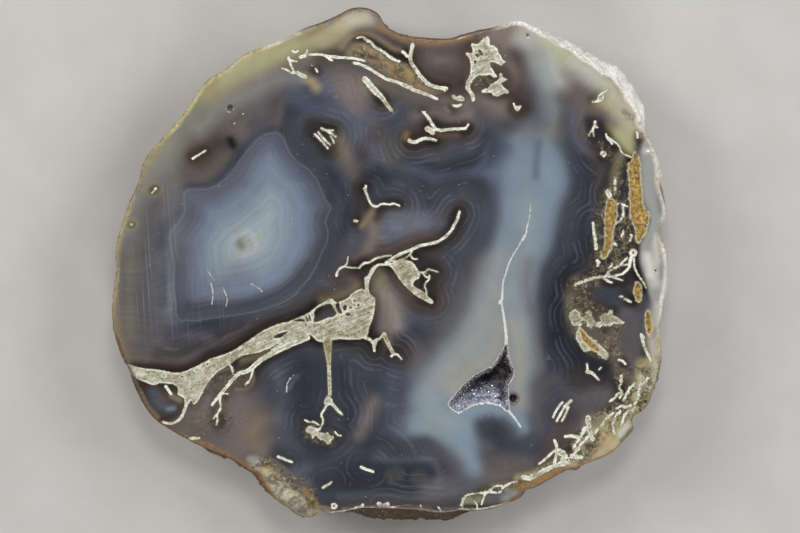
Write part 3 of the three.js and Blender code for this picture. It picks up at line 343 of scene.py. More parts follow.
# Tones laid over the growth tones: tone, strength, half width (0 fills the outline), softness, points
zones = [
    # outer left and upper left, between the rim and the chamber
    ("brownGrey", 0.95, 0, 1.4, [(-57, -19), (-57, 5), (-54, 14), (-49, 26), (-41, 36), (-31, 43),
     (-20, 46), (-15, 42), (-18.5, 36), (-21, 31), (-22, 27.5), (-25, 27), (-29, 25), (-33, 19.5),
     (-36.5, 16.4), (-41, 15.8), (-45, 12), (-48, 5), (-48.6, -8), (-47, -14), (-43, -17), (-38, -16.6),
     (-40, -20), (-50, -20)]),
    ("umber", 0.30, 2.6, 3, [(-41, 19), (-37, 20.6), (-34.6, 24), (-35.5, 27)]),
    ("hatch", 0.6, 2, 3, [(-49, 10), (-45, 18), (-40, 26), (-34, 33)]),
    ("rimGreen", 0.75, 2.6, 3.2, [(-51.5, 6), (-49.5, 14), (-45, 23), (-38.5, 31.5), (-31, 37.5),
     (-25, 39.5)]),
    ("smoke", 0.8, 1.6, 2.4, [(-29, 30), (-26, 32), (-23.6, 36.4), (-19, 37)]),
    ("slate", 0.55, 1.2, 2, [(-27, 27.6), (-24, 29), (-22.2, 33), (-19, 35.5), (-15.5, 36)]),
    ("smoke", 0.9, 0, 2, [(-55, -4), (-54, 6), (-50, 13), (-46, 17), (-42, 14), (-43.5, 9), (-46, 4),
     (-45, -2), (-44.4, -10), (-44.6, -16), (-50, -16)]),
    ("rimGreen", 0.7, 1.2, 1.8, [(-51.4, -14), (-52, -6), (-52, 2)]),
    ("smoke", 0.6, 1.4, 1.6, [(-48.8, -17.6), (-49.6, -12), (-49.8, -6)]),
    ("charcoal", 0.7, 1.2, 1.8, [(-46, -18.4), (-42, -18.2), (-38, -16.4), (-34, -14.4), (-29, -12.6)]),
    ("smoke", 0.75, 0.9, 1.4, [(-43, -14.6), (-39, -14.4), (-35.6, -15.4)]),

    # the left chamber
    ("chamber", 1, 0, 0.8, [(-41.4, 14.6), (-36, 15.3), (-32, 17.8), (-30, 20.6), (-28, 23.5),
     (-25.2, 25.9), (-22.1, 26.2), (-20.3, 23.2), (-18.8, 21), (-15.9, 18.7), (-14.1, 15.7), (-12.6, 12.6),
     (-11.6, 11), (-13, 8.2), (-12.2, 5.4), (-13.8, 1), (-16.3, -3.6), (-19.8, -7), (-24.8, -9.4),
     (-30, -10.5), (-36, -11.1), (-41, -11.7), (-42.8, -11.2), (-43.4, -6), (-43.7, 0), (-44.4, 4.8),
     (-42.8, 8), (-41.4, 10.6)]),
    ("slate", 0.8, 1.4, 2.4, [(-41, -9.8), (-34, -9.4), (-27, -8.4), (-21, -5.8), (-16.5, -1.5),
     (-13.6, 4), (-13, 9)]),
    ("ink", 0.5, 0.5, 1.2, [(-40, -8.4), (-32, -8.2), (-26, -7.2), (-20.6, -4.6), (-16.6, 0)]),
    ("slateBlue", 0.7, 1, 2.4, [(-15, 13.6), (-17.6, 18.4), (-20.6, 22.4), (-23.6, 24.6)]),
    ("violet", 0.55, 1, 2.2, [(-26, 23.4), (-30, 18.6), (-35, 14.4), (-40.4, 12.4), (-42.4, 6)]),
    ("sky", 0.35, 2.2, 4, [(-38, -3), (-30, -4), (-23, -1.6), (-19, 5), (-20, 13), (-23.6, 19)]),
    ("slate", 0.4, 2.2, 3.5, [(-40, 9), (-41.6, 3), (-41.6, -4), (-40, -8)]),
    ("pearl", 0.8, 0.4, 0.8, [(-30.6, 6.8), (-28.4, 4.6), (-27.2, 3), (-28.8, 1.6)]),
    ("rimGreen", 0.9, 0.7, 1, [(-30.2, 4.4), (-29.8, 3.4)]),

    # dark rings right of the chamber, round the fingers and the dot
    ("slate", 0.85, 2.4, 2.2, [(-18.6, 25), (-15, 20.4), (-11.6, 16), (-9, 12), (-9.4, 8.5), (-10.4, 4.6),
     (-12, 0)]),
    ("ink", 0.6, 0.8, 1.3, [(-12.4, 18.4), (-10.2, 15.6), (-8.4, 12.4), (-8.6, 9.6), (-9.6, 6)]),
    ("rose", 0.75, 1, 2.2, [(-10, 24.6), (-8.8, 22), (-7.4, 19.4)]),
    ("charcoal", 0.9, 1.8, 1.6, [(-15.4, 27), (-13.4, 25), (-12.2, 22.8)]),
    ("slate", 0.5, 0.9, 1.2, [(-20, 31), (-20.2, 27.6), (-18.4, 23.4), (-15, 20.6)]),
    ("slateBlue", 0.6, 1.6, 1.8, [(-18.2, 36.4), (-18.4, 32.6), (-14, 31), (-9.4, 30), (-7.4, 26)]),
    ("violet", 0.85, 0, 1.8, [(-13, 38), (-8, 37.6), (-5.4, 33.8), (-2.6, 29.4), (0.6, 24.6), (2.6, 20.6),
     (0, 18.6), (-4, 20.6), (-6.4, 24.6), (-8.6, 29.6), (-13.4, 33), (-15.6, 36)]),
    ("ink", 0.8, 1.5, 1.6, [(-4.4, 17.4), (-2.6, 18), (-1.2, 16.8)]),

    # the middle
    ("violet", 0.95, 0, 1.8, [(-1, 10.4), (4, 10.8), (8.4, 10.2), (10.8, 7.6), (6, 5), (2, 3.8), (-1, 3.2),
     (-2.6, 6)]),
    ("rose", 0.75, 1.2, 2.2, [(-3.6, 7.8), (-3, 5), (-3.8, 2.6)]),
    ("tan", 0.5, 0.5, 1.2, [(-3.4, 8.8), (-3.4, 5.4), (-5.2, 2.4), (-7, 1)]),
    ("smoke", 0.6, 1.3, 2, [(-7.6, 4), (-9.4, 0.6), (-12, -4)]),
    ("slate", 0.85, 1.6, 2, [(-4, 13), (2, 14.4), (6, 13.6), (9.6, 15), (8, 18), (3, 17.6)]),
    ("slateBlue", 0.75, 1, 1.8, [(2.4, 19.4), (8, 17.6), (14, 17.4), (18, 19), (19.4, 23)]),
    ("ink", 0.6, 0.7, 1.4, [(3.4, 21), (9, 19.4), (15, 19.6), (17.6, 22), (19.4, 26.4)]),
    ("charcoal", 0.85, 1.1, 1.3, [(14.6, 10.8), (14.2, 8.6), (13, 6), (11.4, 4.4)]),
    ("slate", 0.85, 1.5, 1.8, [(10, 12.6), (11.6, 15.6), (14.4, 16.6), (17.4, 14.6), (18.2, 10.6), (17, 6),
     (15.4, 1.6)]),
    ("maroon", 0.85, 1.4, 1.5, [(-1.2, 2.4), (2, 2.8), (5.2, 4.8), (8.6, 5.6)]),
    ("rose", 0.8, 0, 2.2, [(-4.4, -2.4), (-2, -1.8), (0.8, -3.8), (2.6, -7), (3.6, -11), (2.4, -14),
     (-0.6, -14.4), (-2.8, -12.4), (-3.2, -7)]),
    ("beige", 0.6, 0.7, 2.2, [(-1.6, -5), (0.6, -9), (1.4, -12.6)]),
    ("maroon", 0.85, 0.8, 1.4, [(0.6, -3.4), (3.4, -6.6), (6.4, -8.9), (9.4, -9.2), (10.4, -6), (9.6, -2)]),
    ("charcoal", 0.8, 1.3, 1.2, [(6.4, 0.4), (8, -0.6), (8.8, -2.8), (8.4, -5.4)]),
    ("olive", 0.7, 0.7, 1.2, [(-2.2, -1.6), (-1.6, -3.6), (-3, -5.6)]),
    ("slate", 0.6, 1.6, 2, [(12, 2), (12.8, -2.6), (12.6, -7.4), (10.4, -11), (6.6, -12.8)]),
    ("rose", 0.7, 0.6, 1.2, [(-1.4, -13.6), (-0.5, -15.6)]),
    ("charcoal", 0.8, 1.3, 1.6, [(-5.4, -16.8), (-3, -19.4), (0.6, -20), (3.2, -18.6), (2.6, -15.4)]),

    # under the root, and left of the T
    ("slate", 0.85, 0, 2.4, [(-26, -23), (-20, -18), (-14, -17), (-10, -17), (-4, -19.6), (3, -21),
     (4.4, -27), (1.6, -33), (-6, -36), (-18, -36), (-23, -33)]),
    ("ink", 0.75, 2, 2.6, [(-17.6, -21), (-17, -27), (-19, -32), (-15, -37)]),
    ("ink", 0.7, 1.4, 2.2, [(-9.6, -22), (-8.6, -27), (-7.6, -33), (-4.4, -36.4)]),
    ("slateBlue", 0.6, 1.4, 2.4, [(0.8, -22.6), (0, -27), (1, -32)]),
    ("violet", 0.6, 1.1, 2, [(-22.6, -21.8), (-21.6, -26), (-22.6, -31)]),
    ("milk", 0.4, 0.3, 0.7, [(-20.2, -25), (-19.3, -23.5), (-18.5, -22.6)]),
    ("rose", 0.8, 1.2, 1.8, [(-3.4, -27.8), (-4.4, -30.6), (-6.2, -34.4)]),
    ("charcoal", 0.75, 1.6, 1.6, [(-16.6, -32), (-14.6, -33.8), (-11.6, -34.6)]),
    ("rose", 0.75, 4.4, 4.6, [(-31, -29), (-28.4, -33), (-31, -37)]),
    ("tan", 0.5, 2, 3, [(-26, -31.4), (-27.6, -35), (-25.6, -37.6)]),
    ("brownGrey", 0.85, 0, 2, [(-44, -31), (-39, -28), (-36, -31), (-33, -37), (-26, -40), (-30, -43),
     (-38, -38), (-44, -34)]),
    ("maroon", 0.75, 1.3, 2, [(-38.4, -27.6), (-35.6, -24.4), (-31.4, -24), (-28, -22.6)]),
    ("rose", 0.6, 0.9, 1.2, [(-36.4, -27.4), (-37.6, -31)]),
    ("slate", 0.85, 2.6, 2.2, [(-21, -38.6), (-15, -39), (-9, -40.4)]),
    ("violet", 0.7, 1, 1.4, [(-19, -41.6), (-14.6, -41.4), (-9.6, -43.4)]),
    ("umber", 0.9, 1.6, 1.2, [(-48.6, -26.6), (-46.6, -28.6), (-44, -27.6), (-43, -27)]),
    ("maroon", 0.7, 0.5, 0.8, [(-50, -24.6), (-48.8, -27), (-46.6, -30.2)]),

    # bottom
    ("slate", 0.92, 0, 1.3, [(-17, -43), (-12, -39), (-5, -37.4), (0, -36.2), (4, -35), (7, -34.5),
     (9, -35.2), (11, -36.7), (12.3, -38.7), (13.5, -40.7), (16, -42.2), (18, -43.4), (14, -49), (0, -52),
     (-14, -51)]),
    ("ink", 0.8, 2.6, 2.6, [(-8, -42.4), (-1, -42.2), (6, -42.4), (9.6, -41.4)]),
    ("charcoal", 0.5, 1.4, 2, [(-13, -43.6), (-4, -45), (6, -45.4), (12, -44.6)]),
    ("violet", 0.6, 0.6, 1, [(-3, -38.8), (0, -39.4), (4, -39.2), (8, -39.2), (9.8, -41.6), (9.4, -44.4)]),
    ("violet", 0.5, 0.6, 1, [(-10, -46.6), (-4, -46.2), (2, -46.6), (8, -46.8), (13, -46)]),
    ("maroon", 0.7, 0.6, 0.9, [(-12, -48.6), (-4, -48), (4, -48.2), (12, -48.2)]),

    # the pale channel on the right
    ("paleBlue", 0.92, 0, 3, [(22.6, 26.4), (23.4, 22), (22.4, 18), (21.2, 14), (20.4, 10), (19.8, 6),
     (18.8, 2), (16.9, -2), (15.4, -6), (13.8, -10), (11.2, -14), (8.6, -17.4), (5.4, -21), (4, -25),
     (3.8, -28), (6.4, -31.6), (9.4, -34), (11.6, -37), (14.2, -40.6), (16.4, -42.4), (18.6, -42),
     (18.4, -38), (18.2, -34.4), (21, -35.6), (24.6, -35.6), (27.4, -33.6), (28.2, -30), (29, -26),
     (29.8, -20), (29.4, -14), (29, -8), (29.6, -2), (31.4, 2), (33, 7), (34.4, 12), (35.6, 18),
     (34.4, 23), (31.6, 27), (27, 28)]),
    ("pearl", 0.95, 0, 2.4, [(23.6, 48), (25, 44), (28.6, 39), (30.6, 34), (31.4, 29), (31, 26),
     (34.4, 26), (34, 31), (33, 35), (34.4, 40), (33.6, 45), (30, 48.6)]),
    ("slateBlue", 0.45, 1.2, 2.4, [(22, 24.6), (21.6, 18), (20.6, 11), (19.4, 4)]),
    ("milk", 0.6, 1.6, 3, [(28.6, 11), (27.4, 4), (26.6, -4), (27, -12), (27.4, -20)]),
    ("brownGrey", 0.6, 2, 3.4, [(17.6, 0), (15.6, -5), (12.6, -11), (8.6, -16.4), (5.6, -20)]),
    ("pearl", 0.8, 2.6, 3.4, [(23, 0), (21, -6), (18, -13), (14, -19), (10.6, -23)]),
    ("beige", 0.85, 1.2, 2.2, [(21.8, -13), (20.6, -18), (16.4, -21.4), (12.6, -25)]),
    ("beige", 0.85, 1.3, 2.4, [(24.8, -12), (25.8, -18), (25.6, -24), (26, -28)]),
    ("brownGrey", 0.6, 1.2, 2.6, [(29.6, -12), (29.8, -20), (29.4, -27)]),
    ("umber", 0.8, 0.35, 0.6, [(23.9, -27), (24.6, -26.2), (25.4, -27), (24.6, -27.9), (23.9, -27)]),
    ("milk", 0.7, 2, 2.4, [(7, -26.4), (9, -30), (13, -33)]),
    ("sky", 0.75, 1.4, 1.8, [(13.6, -33.6), (15, -37.6), (16.8, -40.8)]),
    ("sky", 0.5, 1.4, 2.6, [(32.4, 20), (31.6, 13), (30.4, 6)]),
    ("slateBlue", 0.6, 0.6, 1, [(29.7, 24), (29.3, 20), (29.2, 17.4)]),
    ("sky", 0.85, 0.4, 0.9, [(12.6, -30.6), (15.4, -29.8), (18, -28.9), (20.6, -28.8), (22.8, -29.9)]),
    ("slate", 0.95, 0, 1.5, [(17, -32), (18.6, -30.8), (21, -30.8), (23.4, -32.2), (25, -34.4), (24, -36),
     (20.6, -36.4), (17.8, -35)]),
    ("sky", 0.8, 0.9, 1.2, [(24.8, -30.4), (26.2, -31.8), (27.4, -33.6)]),
    ("brownGrey", 0.7, 0, 2.2, [(19.4, -38), (24, -37.6), (28, -36), (32, -33), (33, -38), (27, -43),
     (20, -44.4)]),
    ("smoke", 0.8, 0.9, 1.3, [(19.6, -36.6), (23, -37), (26.6, -37), (29, -35)]),

    # top right
    ("beige", 0.85, 2.6, 2.6, [(24.6, 47), (28, 46), (32, 44.4), (36, 42)]),
    ("chalk", 0.7, 1.2, 2, [(28, 47.6), (31.4, 45.6), (35, 43.6)]),
    ("lime", 0.85, 2, 2.8, [(32.6, 42.6), (36, 40.8), (40, 38.2), (43.4, 35.6)]),
    ("sheet", 0.6, 1.6, 2, [(44.4, 34), (47, 31.6), (48.6, 28.6)]),
    ("maroon", 0.85, 2, 2.4, [(25, 40.6), (25, 37), (26, 33.4), (24, 29)]),
    # a small pale smear painted at a cluster of glints on the polish: a painted highlight
    ("pearl", 0.7, 0.2, 0.6, [(11, 31), (11.8, 30.2)]),
    ("rose", 0.85, 0, 2, [(-6, 30), (-2, 35), (5, 33), (12, 31), (18, 27.6), (23, 28), (26, 31), (20, 34),
     (14, 34.6), (9, 33.6), (2, 36.4), (-6, 39), (-12, 38), (-10, 33)]),
    ("rose", 0.9, 0, 1.6, [(2, 45.4), (6, 43.6), (14, 43.8), (20, 47), (25, 48), (24, 42), (25.6, 38),
     (24, 35), (17, 35), (14.8, 38), (14, 42), (8, 43), (4, 43)]),
    ("maroon", 0.85, 0, 1, [(4.8, 43.4), (5, 40), (7.6, 37), (11.4, 35.8), (14.4, 37), (15, 40),
     (14.4, 42.8), (11, 43.6), (7, 43.8)]),
    ("brownGrey", 0.85, 2, 1.8, [(8.6, 41), (12, 40.6)]),
    ("rose", 0.6, 0.5, 0.8, [(9.4, 40.4), (11, 40.5)]),
    ("rose", 0.6, 0, 1.2, [(3.4, 45), (8, 44.2), (14, 44.6), (20, 46.6), (24, 48), (22, 44.6),
     (16.6, 44.6), (12, 43.6), (6, 43.4)]),
    ("brownGrey", 0.85, 2.8, 2.6, [(37, 36), (38, 31.6), (35.6, 28)]),
    ("umber", 0.75, 0.9, 1, [(24.2, 31), (25.4, 32.2), (26.6, 30.8), (25.4, 29.6), (24.2, 30.6)]),
    ("slate", 0.6, 1.8, 2, [(17.6, 30), (20, 28), (23, 27.4)]),
    ("rose", 0.7, 0, 1.2, [(-12, 44.6), (-10, 48.6), (-7.4, 50.6), (-4, 50.4), (-2, 48.4), (-1.6, 46),
     (-4, 46.4), (-6.4, 46.6), (-8.6, 45.6)]),
    ("beige", 0.75, 0, 1.6, [(-15, 44), (-11, 47.6), (-8, 49.8), (-4.4, 49.6), (-3, 47.6), (-6.4, 47.2),
     (-9.6, 45), (-13, 43)]),
    ("tan", 0.9, 0.5, 0.8, [(-9.6, 43), (-8.4, 44.8), (-6.2, 45.9), (-4, 45.7), (-1.5, 44.4), (0.4, 43),
     (2, 42.6)]),
    ("brownGrey", 0.6, 0, 2, [(-17, 40), (-10, 43), (-4, 42), (4, 37), (10, 33), (6, 31), (0, 33.4),
     (-6, 36.6), (-12, 38)]),
    ("tan", 0.9, 0, 0.8, [(-8.6, 42.4), (-6.4, 44), (-4, 43.4), (-1, 41.4), (2, 40.2), (4, 39.4),
     (5.4, 37.6), (8, 35.2), (10.8, 34.4), (8, 33.8), (4, 35.4), (0, 37.2), (-3, 39), (-6, 40.6),
     (-8.6, 41.2)]),
    ("sheet", 0.8, 0.7, 0.8, [(-7, 43.2), (-4.4, 42.8), (-1, 40.8), (2.6, 38.6), (5.6, 36.4)]),
    ("rust", 0.6, 0.4, 0.8, [(0.4, 39), (3.4, 37.6), (5.6, 36)]),
    ("umber", 0.8, 0.3, 0.5, [(-7, 41.8), (-4.6, 41.4), (-3, 41)]),
    ("sheet", 0.8, 1, 1, [(-17, 37), (-15.6, 36.2), (-14.8, 35.2)]),
    ("smoke", 0.7, 1, 1.4, [(-12, 39.6), (-8, 39.2), (-4, 37.6)]),

    # dark blue bands on the right of the channel
    ("slate", 0.9, 2, 1.8, [(36.4, 28), (37.8, 22), (39, 16), (38, 10), (36.6, 5), (34.6, 1), (32.6, -5),
     (32.6, -12), (33.6, -18), (36, -22)]),
    ("ink", 0.9, 2, 1.8, [(39, 3), (35.8, -2), (33.4, -6), (33, -12), (34, -17.6), (37.6, -20.8),
     (41, -21.6)]),
    ("night", 0.65, 1, 1.8, [(37, 0), (34, -4), (32.8, -10), (33.4, -16)]),
    ("ink", 0.65, 1.2, 1.8, [(38.6, 22), (39.6, 16), (39.4, 10), (38.6, 4)]),
    ("violet", 0.7, 0.8, 1.2, [(36.6, 31), (36.4, 27), (37.4, 24.6), (38.6, 22.6)]),
    ("brownGrey", 0.65, 0.9, 1.2, [(38.6, 31.6), (38.2, 27.6), (39.6, 24.4), (41, 22)]),

    # the mossy side on the right
    ("charcoal", 0.95, 0, 1, [(38.8, 29), (39.6, 26), (40, 23.4), (42.4, 21), (43.4, 18.6), (42.6, 15.2),
     (41.6, 11), (40, 6), (39.6, 2), (39.8, -1.4), (42, -3), (46, -5), (48, -3), (49.2, 1), (49, 5),
     (48.2, 9.6), (47.6, 15), (47.4, 20), (45.6, 21.6), (43.4, 24.6), (42.4, 28), (40.6, 29.6)]),
    ("night", 0.8, 0, 0.7, [(45.6, 20), (46, 15), (45.6, 10), (45, 4), (43, 0.4), (44, -0.6), (47, 2),
     (47.6, 6), (47.4, 12), (47.2, 19)]),
    ("night", 0.7, 0, 0.7, [(39.6, 28), (39.8, 25.6), (40.8, 24.6), (42.4, 26.4), (41.8, 28.4)]),
    ("oliveDark", 0.7, 0.8, 1, [(42.2, 11.6), (41.8, 6), (41.2, 1)]),
    ("violet", 0.6, 0.35, 0.7, [(38.6, 29.6), (37.2, 27.8), (36.8, 25.6), (38.4, 23.4), (40, 21.4),
     (41.8, 19), (41.4, 15.6), (40.6, 11), (39.6, 6)]),
    ("sheet", 0.9, 0, 1.2, [(40.4, 31.4), (43, 33.4), (46, 33.6), (48.6, 31.4), (49.4, 28), (49, 25),
     (48.4, 21.6), (46.8, 22.6), (45.4, 24.6), (43.6, 26.6), (43.4, 29.4)]),
    ("lime", 0.6, 0, 0.8, [(44.6, 25), (46.4, 23), (48.4, 21.8), (48.8, 24), (47.2, 26.6), (45, 26.8)]),
    ("brownGrey", 0.7, 1, 1.4, [(40.4, 30.6), (43, 29.4), (44.6, 28)]),
    ("honey", 0.8, 0.5, 0.6, [(47, 29.8), (48.4, 28.6), (49.6, 27), (50.2, 25.4)]),
    ("olive", 0.95, 1, 0.8, [(46.2, 21.6), (45.6, 20), (45, 17.4), (44.6, 15), (43.8, 13.4)]),
    ("pearl", 1, 0, 0.6, [(50.4, 24), (50.4, 19), (50.8, 13), (52.2, 9.8), (51.4, 6.4), (50, 3.4), (50, 0),
     (51.2, -4), (52, -7), (53.6, -9), (57, -8), (57, 20), (54, 28)]),
    ("milk", 0.5, 0.6, 0.8, [(51.6, 20), (51.6, 14), (53, 9.6), (52.6, 6)]),
    ("chalk", 0.8, 0.9, 1.2, [(51.4, 1), (52.6, -1), (53, -4)]),
    ("brownGrey", 0.85, 0, 1.3, [(34.8, -4.4), (36.6, -2.8), (39, -2.8), (42, -4), (40, -5), (39.4, -7),
     (41, -9), (43, -8.8), (46, -11.4), (46.4, -12.6), (42.4, -13.4), (44.6, -16), (44.4, -19),
     (42.6, -19.4), (40, -18), (37.2, -15.6), (35.4, -12), (34.6, -8)]),
    ("tan", 0.25, 1, 1.1, [(36, -5), (36.4, -8), (36.6, -11)]),
    ("slate", 0.9, 0, 1, [(39.6, -5), (42, -4.6), (46, -5.4), (47.6, -7), (45.6, -9), (42.4, -8.2),
     (40, -7)]),
    ("smoke", 0.95, 0, 1, [(46, -9), (49, -9.4), (50.4, -12), (50.6, -16), (50, -20), (48, -21),
     (46.4, -18), (45.4, -14)]),
    ("brownGrey", 0.9, 1.1, 1, [(44.6, -14), (45.2, -17.4), (45, -21), (47.4, -22.6), (48.6, -24.6)]),
    ("beige", 0.9, 0, 1.2, [(50.8, -15), (52.4, -8), (56, -8), (56, -24), (52.6, -26), (50.4, -22),
     (51.6, -19)]),
    ("sheet", 0.95, 0, 1, [(49.6, -19.4), (52.6, -19), (53.4, -23), (51.6, -28), (50, -31), (47, -31),
     (46.6, -28.6), (48.6, -25), (49, -22)]),
    ("honey", 0.8, 0.7, 0.7, [(48.6, -26), (49.6, -28), (50.8, -26)]),
    ("rust", 0.7, 0.4, 0.5, [(47.4, -29.2), (47, -30.4)]),
    ("smoke", 0.95, 0, 1.8, [(30, -24), (36, -21.6), (41, -23.4), (45, -25.4), (44.6, -28.4), (41, -30.4),
     (38, -34), (34, -37.4), (29, -40), (26.6, -38), (28.6, -31)]),
    ("charcoal", 0.7, 0, 1.6, [(34, -22), (38, -18), (44, -19.6), (45.4, -24), (41, -24.6), (37, -25.6)]),
    ("maroon", 0.7, 2.2, 2, [(36, -31), (34.6, -34.6), (30.6, -37.6)]),
    ("slate", 0.6, 1, 1.3, [(31.4, -29), (31.6, -33), (30, -36)]),
    ("sheet", 0.95, 0, 0.9, [(39, -31), (42, -30), (45.6, -29.6), (48.6, -31), (49.6, -33), (46, -38),
     (41, -41), (36.8, -41.4), (35, -40.6), (36.4, -38), (37.6, -35)]),
    ("honey", 0.95, 0, 0.5, [(42.6, -32), (44.4, -33), (44.4, -35), (43, -36.6), (41, -36.8),
     (41.4, -34.4)]),
    ("cream", 0.7, 0.8, 0.8, [(37.4, -38.6), (39, -36.6), (40.2, -33.6)]),
    ("cream", 0.5, 0.8, 1, [(39, -39.4), (43, -37.8), (46, -35.4)]),
    ("slateBlue", 0.9, 0.4, 0.35, [(48.6, -33), (47.4, -34.4), (46.2, -35.6)]),
    ("chalk", 0.85, 0.7, 0.5, [(47.6, -32), (46, -34.2)]),
    ("sheet", 0.9, 1.3, 0.7, [(26, -43.4), (29, -42.6), (32, -41.2), (35, -39.4)]),
    ("rust", 0.9, 0.7, 0.5, [(26, -44.4), (28.4, -43.9), (31, -42.9), (34, -41.8)]),
    ("smoke", 0.9, 0, 0.6, [(18.6, -46.2), (21.6, -46), (23.6, -44.6), (26.2, -45), (26.4, -46.8),
     (23, -48), (18.6, -48.4)]),
    ("pearl", 0.7, 0.8, 0.8, [(23.6, -45.4), (25, -46), (23, -47)]),
    ("lime", 0.7, 0, 0.5, [(14.6, -47.4), (15.6, -46.6), (18.4, -46.4), (18.2, -48), (16.4, -48.4),
     (14.6, -48.2)]),
    ("umber", 0.95, 0, 0.3, [(14.8, -48.9), (15.6, -48.2), (17, -48.6), (16.8, -49.2), (15, -49.2)]),
    ("moss", 0.8, 0.5, 0.6, [(20.6, -44.6), (22, -44.6), (23, -44.2)]),

    # lower left: the pocket at the root's end, loops, and the patch of grown-over matrix
    ("umber", 0.95, 0, 0.6, [(-51.2, -23), (-49, -24.2), (-46, -24.6), (-44, -27), (-42.4, -26),
     (-41.4, -28.6), (-42.6, -30.8), (-46, -31.2), (-49.6, -27)]),
    ("slate", 0.95, 0, 0.6, [(-48.6, -25), (-46.8, -24.8), (-45.6, -27), (-44.4, -28), (-42.8, -28.6),
     (-42.8, -29.6), (-44.4, -30), (-46.6, -29.4), (-48, -27.6)]),
    ("sky", 0.8, 0.35, 0.5, [(-43.2, -29), (-44.4, -29.2)]),
    ("moss", 0.9, 0.4, 0.5, [(-50, -25.6), (-48.6, -28.4), (-46.4, -30.8)]),
    ("moss", 0.9, 0.5, 0.5, [(-43.6, -26.6), (-42, -27.4)]),
    ("tan", 0.7, 0.3, 0.4, [(-36.4, -25), (-36, -23), (-34.5, -21.8), (-32, -21)]),
    ("tan", 0.7, 0.3, 0.4, [(-27.6, -21.5), (-27.3, -23.6), (-28.6, -25.1), (-30.6, -25.3)]),
    ("maroon", 0.9, 0.7, 0.5, [(-34, -23.4), (-34.2, -24.2)]),
    ("maroon", 0.9, 1, 0.6, [(-29, -22.2), (-29, -24)]),
    ("umber", 0.9, 0.5, 0.5, [(-32.8, -27), (-33, -26.6)]),
    ("umber", 0.9, 0.6, 0.6, [(-33.8, -31), (-33.4, -32)]),
    ("olive", 0.95, 0, 0.4, [(-26.4, -40.4), (-25, -39.4), (-23.4, -39.2), (-21, -40.8), (-18.8, -43),
     (-17, -44.4), (-15.4, -46), (-14, -48.6), (-13.6, -50.4), (-15.4, -51.4), (-19.4, -51), (-23, -48.6),
     (-26.4, -44.6)]),
    ("smoke", 0.9, 0, 0.6, [(-24, -39), (-22.6, -39.4), (-20, -42), (-16.4, -43), (-14.6, -46), (-16, -46),
     (-19, -44.8), (-21.6, -42.4)]),
    ("sheet", 0.9, 0, 0.5, [(-26, -41.4), (-24.4, -40.6), (-22, -43.6), (-18, -46.4), (-15, -49),
     (-18, -48.6), (-22, -47), (-25, -44.4)]),
    ("cream", 0.85, 0, 0.4, [(-24, -44.6), (-21.6, -44.6), (-19, -46.6), (-16.6, -48.6), (-15, -50.2),
     (-17, -50), (-20, -47.8), (-22.6, -47)]),
    ("rust", 0.9, 0.35, 0.4, [(-25.9, -40.6), (-24, -41), (-22, -43.2), (-20, -45.4)]),
    ("rust", 0.9, 0.35, 0.4, [(-17.2, -45), (-15.8, -46.8), (-14.2, -48.9)]),
    ("umber", 0.9, 0.3, 0.4, [(-26.6, -42.2), (-25.2, -45), (-22.4, -47.6)]),
    ("hatch", 0.95, 0, 0.4, [(-19.8, -49), (-18.2, -48), (-17, -49), (-16.4, -50), (-19, -50.6)]),
    ("pearl", 0.8, 0.7, 0.6, [(-28, -39.2), (-26.4, -39.4), (-27.4, -40.6)]),

    ("pearl", 0.45, 2.5, 2.6, [(-53, 6), (-50.6, 14), (-46, 23), (-40.6, 30.6), (-34, 36), (-27, 39.4)]),
    ("charcoal", 0.6, 1.2, 2, [(-34.4, 24), (-31.6, 23.8)]),
    ("black", 0.9, 0.6, 0.8, [(-31.9, 24.6), (-31.4, 23.5)]),
    ("umber", 0.55, 1.8, 1.6, [(-39, 21.4), (-37.2, 22)]),
    ("cream", 0.6, 0, 1.4, [(-16, 45.4), (-12, 47.6), (-9, 50), (-5, 50.4), (-3, 48.4), (-6, 47.6),
     (-10, 46), (-13, 43.6)]),
    ("chalk", 0.75, 1.8, 2.2, [(31.6, 40), (32.6, 37.6), (34, 36)]),
    ("chalk", 0.6, 2.2, 2.4, [(38, 39.6), (42.6, 36), (46, 32), (48.4, 28.4)]),
    ("maroon", 0.8, 1.4, 1.4, [(13.6, 33.6), (15.6, 36), (16, 40), (15.2, 43)]),
    ("maroon", 0.7, 0, 1.2, [(18.6, 38), (21, 39.6), (24, 38.6), (25, 35), (21.6, 33.4), (19, 34.6)]),
    ("tan", 0.5, 1, 2.6, [(-10.4, 24.4), (-9, 21), (-8, 19)]),
    ("maroon", 0.5, 1, 2.4, [(-4, 25), (-6, 21.4), (-7, 19)]),

    # smaller clouds and shadows
    ("paleBlue", 0.55, 1.8, 2.4, [(29.6, 41), (31, 36), (32, 30)]),
    ("rimYellow", 0.6, 0.8, 0.8, [(-51.8, 7.6), (-51.4, 7.8)]),
    ("slate", 0.85, 1.2, 1.7, [(20.6, -33), (21.8, -35.6), (25.2, -37), (29.4, -37.2)]),
    ("umber", 0.5, 1.4, 1.6, [(41, 20), (42, 13)]),
    ("violet", 0.5, 2.2, 4, [(-39, -4.4), (-35, -4.6), (-31, -3)]),
    ("slate", 0.6, 0.7, 1.3, [(-45.2, 7), (-45, 0), (-45.2, -8)]),
    ("pearl", 0.55, 1.4, 2.4, [(-38, 27), (-33, 31.4), (-27, 34.4), (-23, 36.4), (-19, 37)]),
    ("slate", 0.55, 1.4, 2, [(19.6, 14), (20, 9), (18.6, 4)]),
    ("paleBlue", 0.65, 1.5, 2.4, [(24.6, 5), (24, 1), (23.2, -3)]),
    ("smoke", 0.5, 1.1, 2, [(27.8, 0), (27.2, -4), (28, -9)]),
    ("slate", 0.5, 0.8, 1.2, [(22.8, -31.6), (24.6, -33.2)]),
    ("night", 0.85, 1, 1, [(35, -3), (33.8, -6), (33.6, -10), (34.4, -14), (36.4, -17.4), (39, -19.8),
     (43, -21)]),
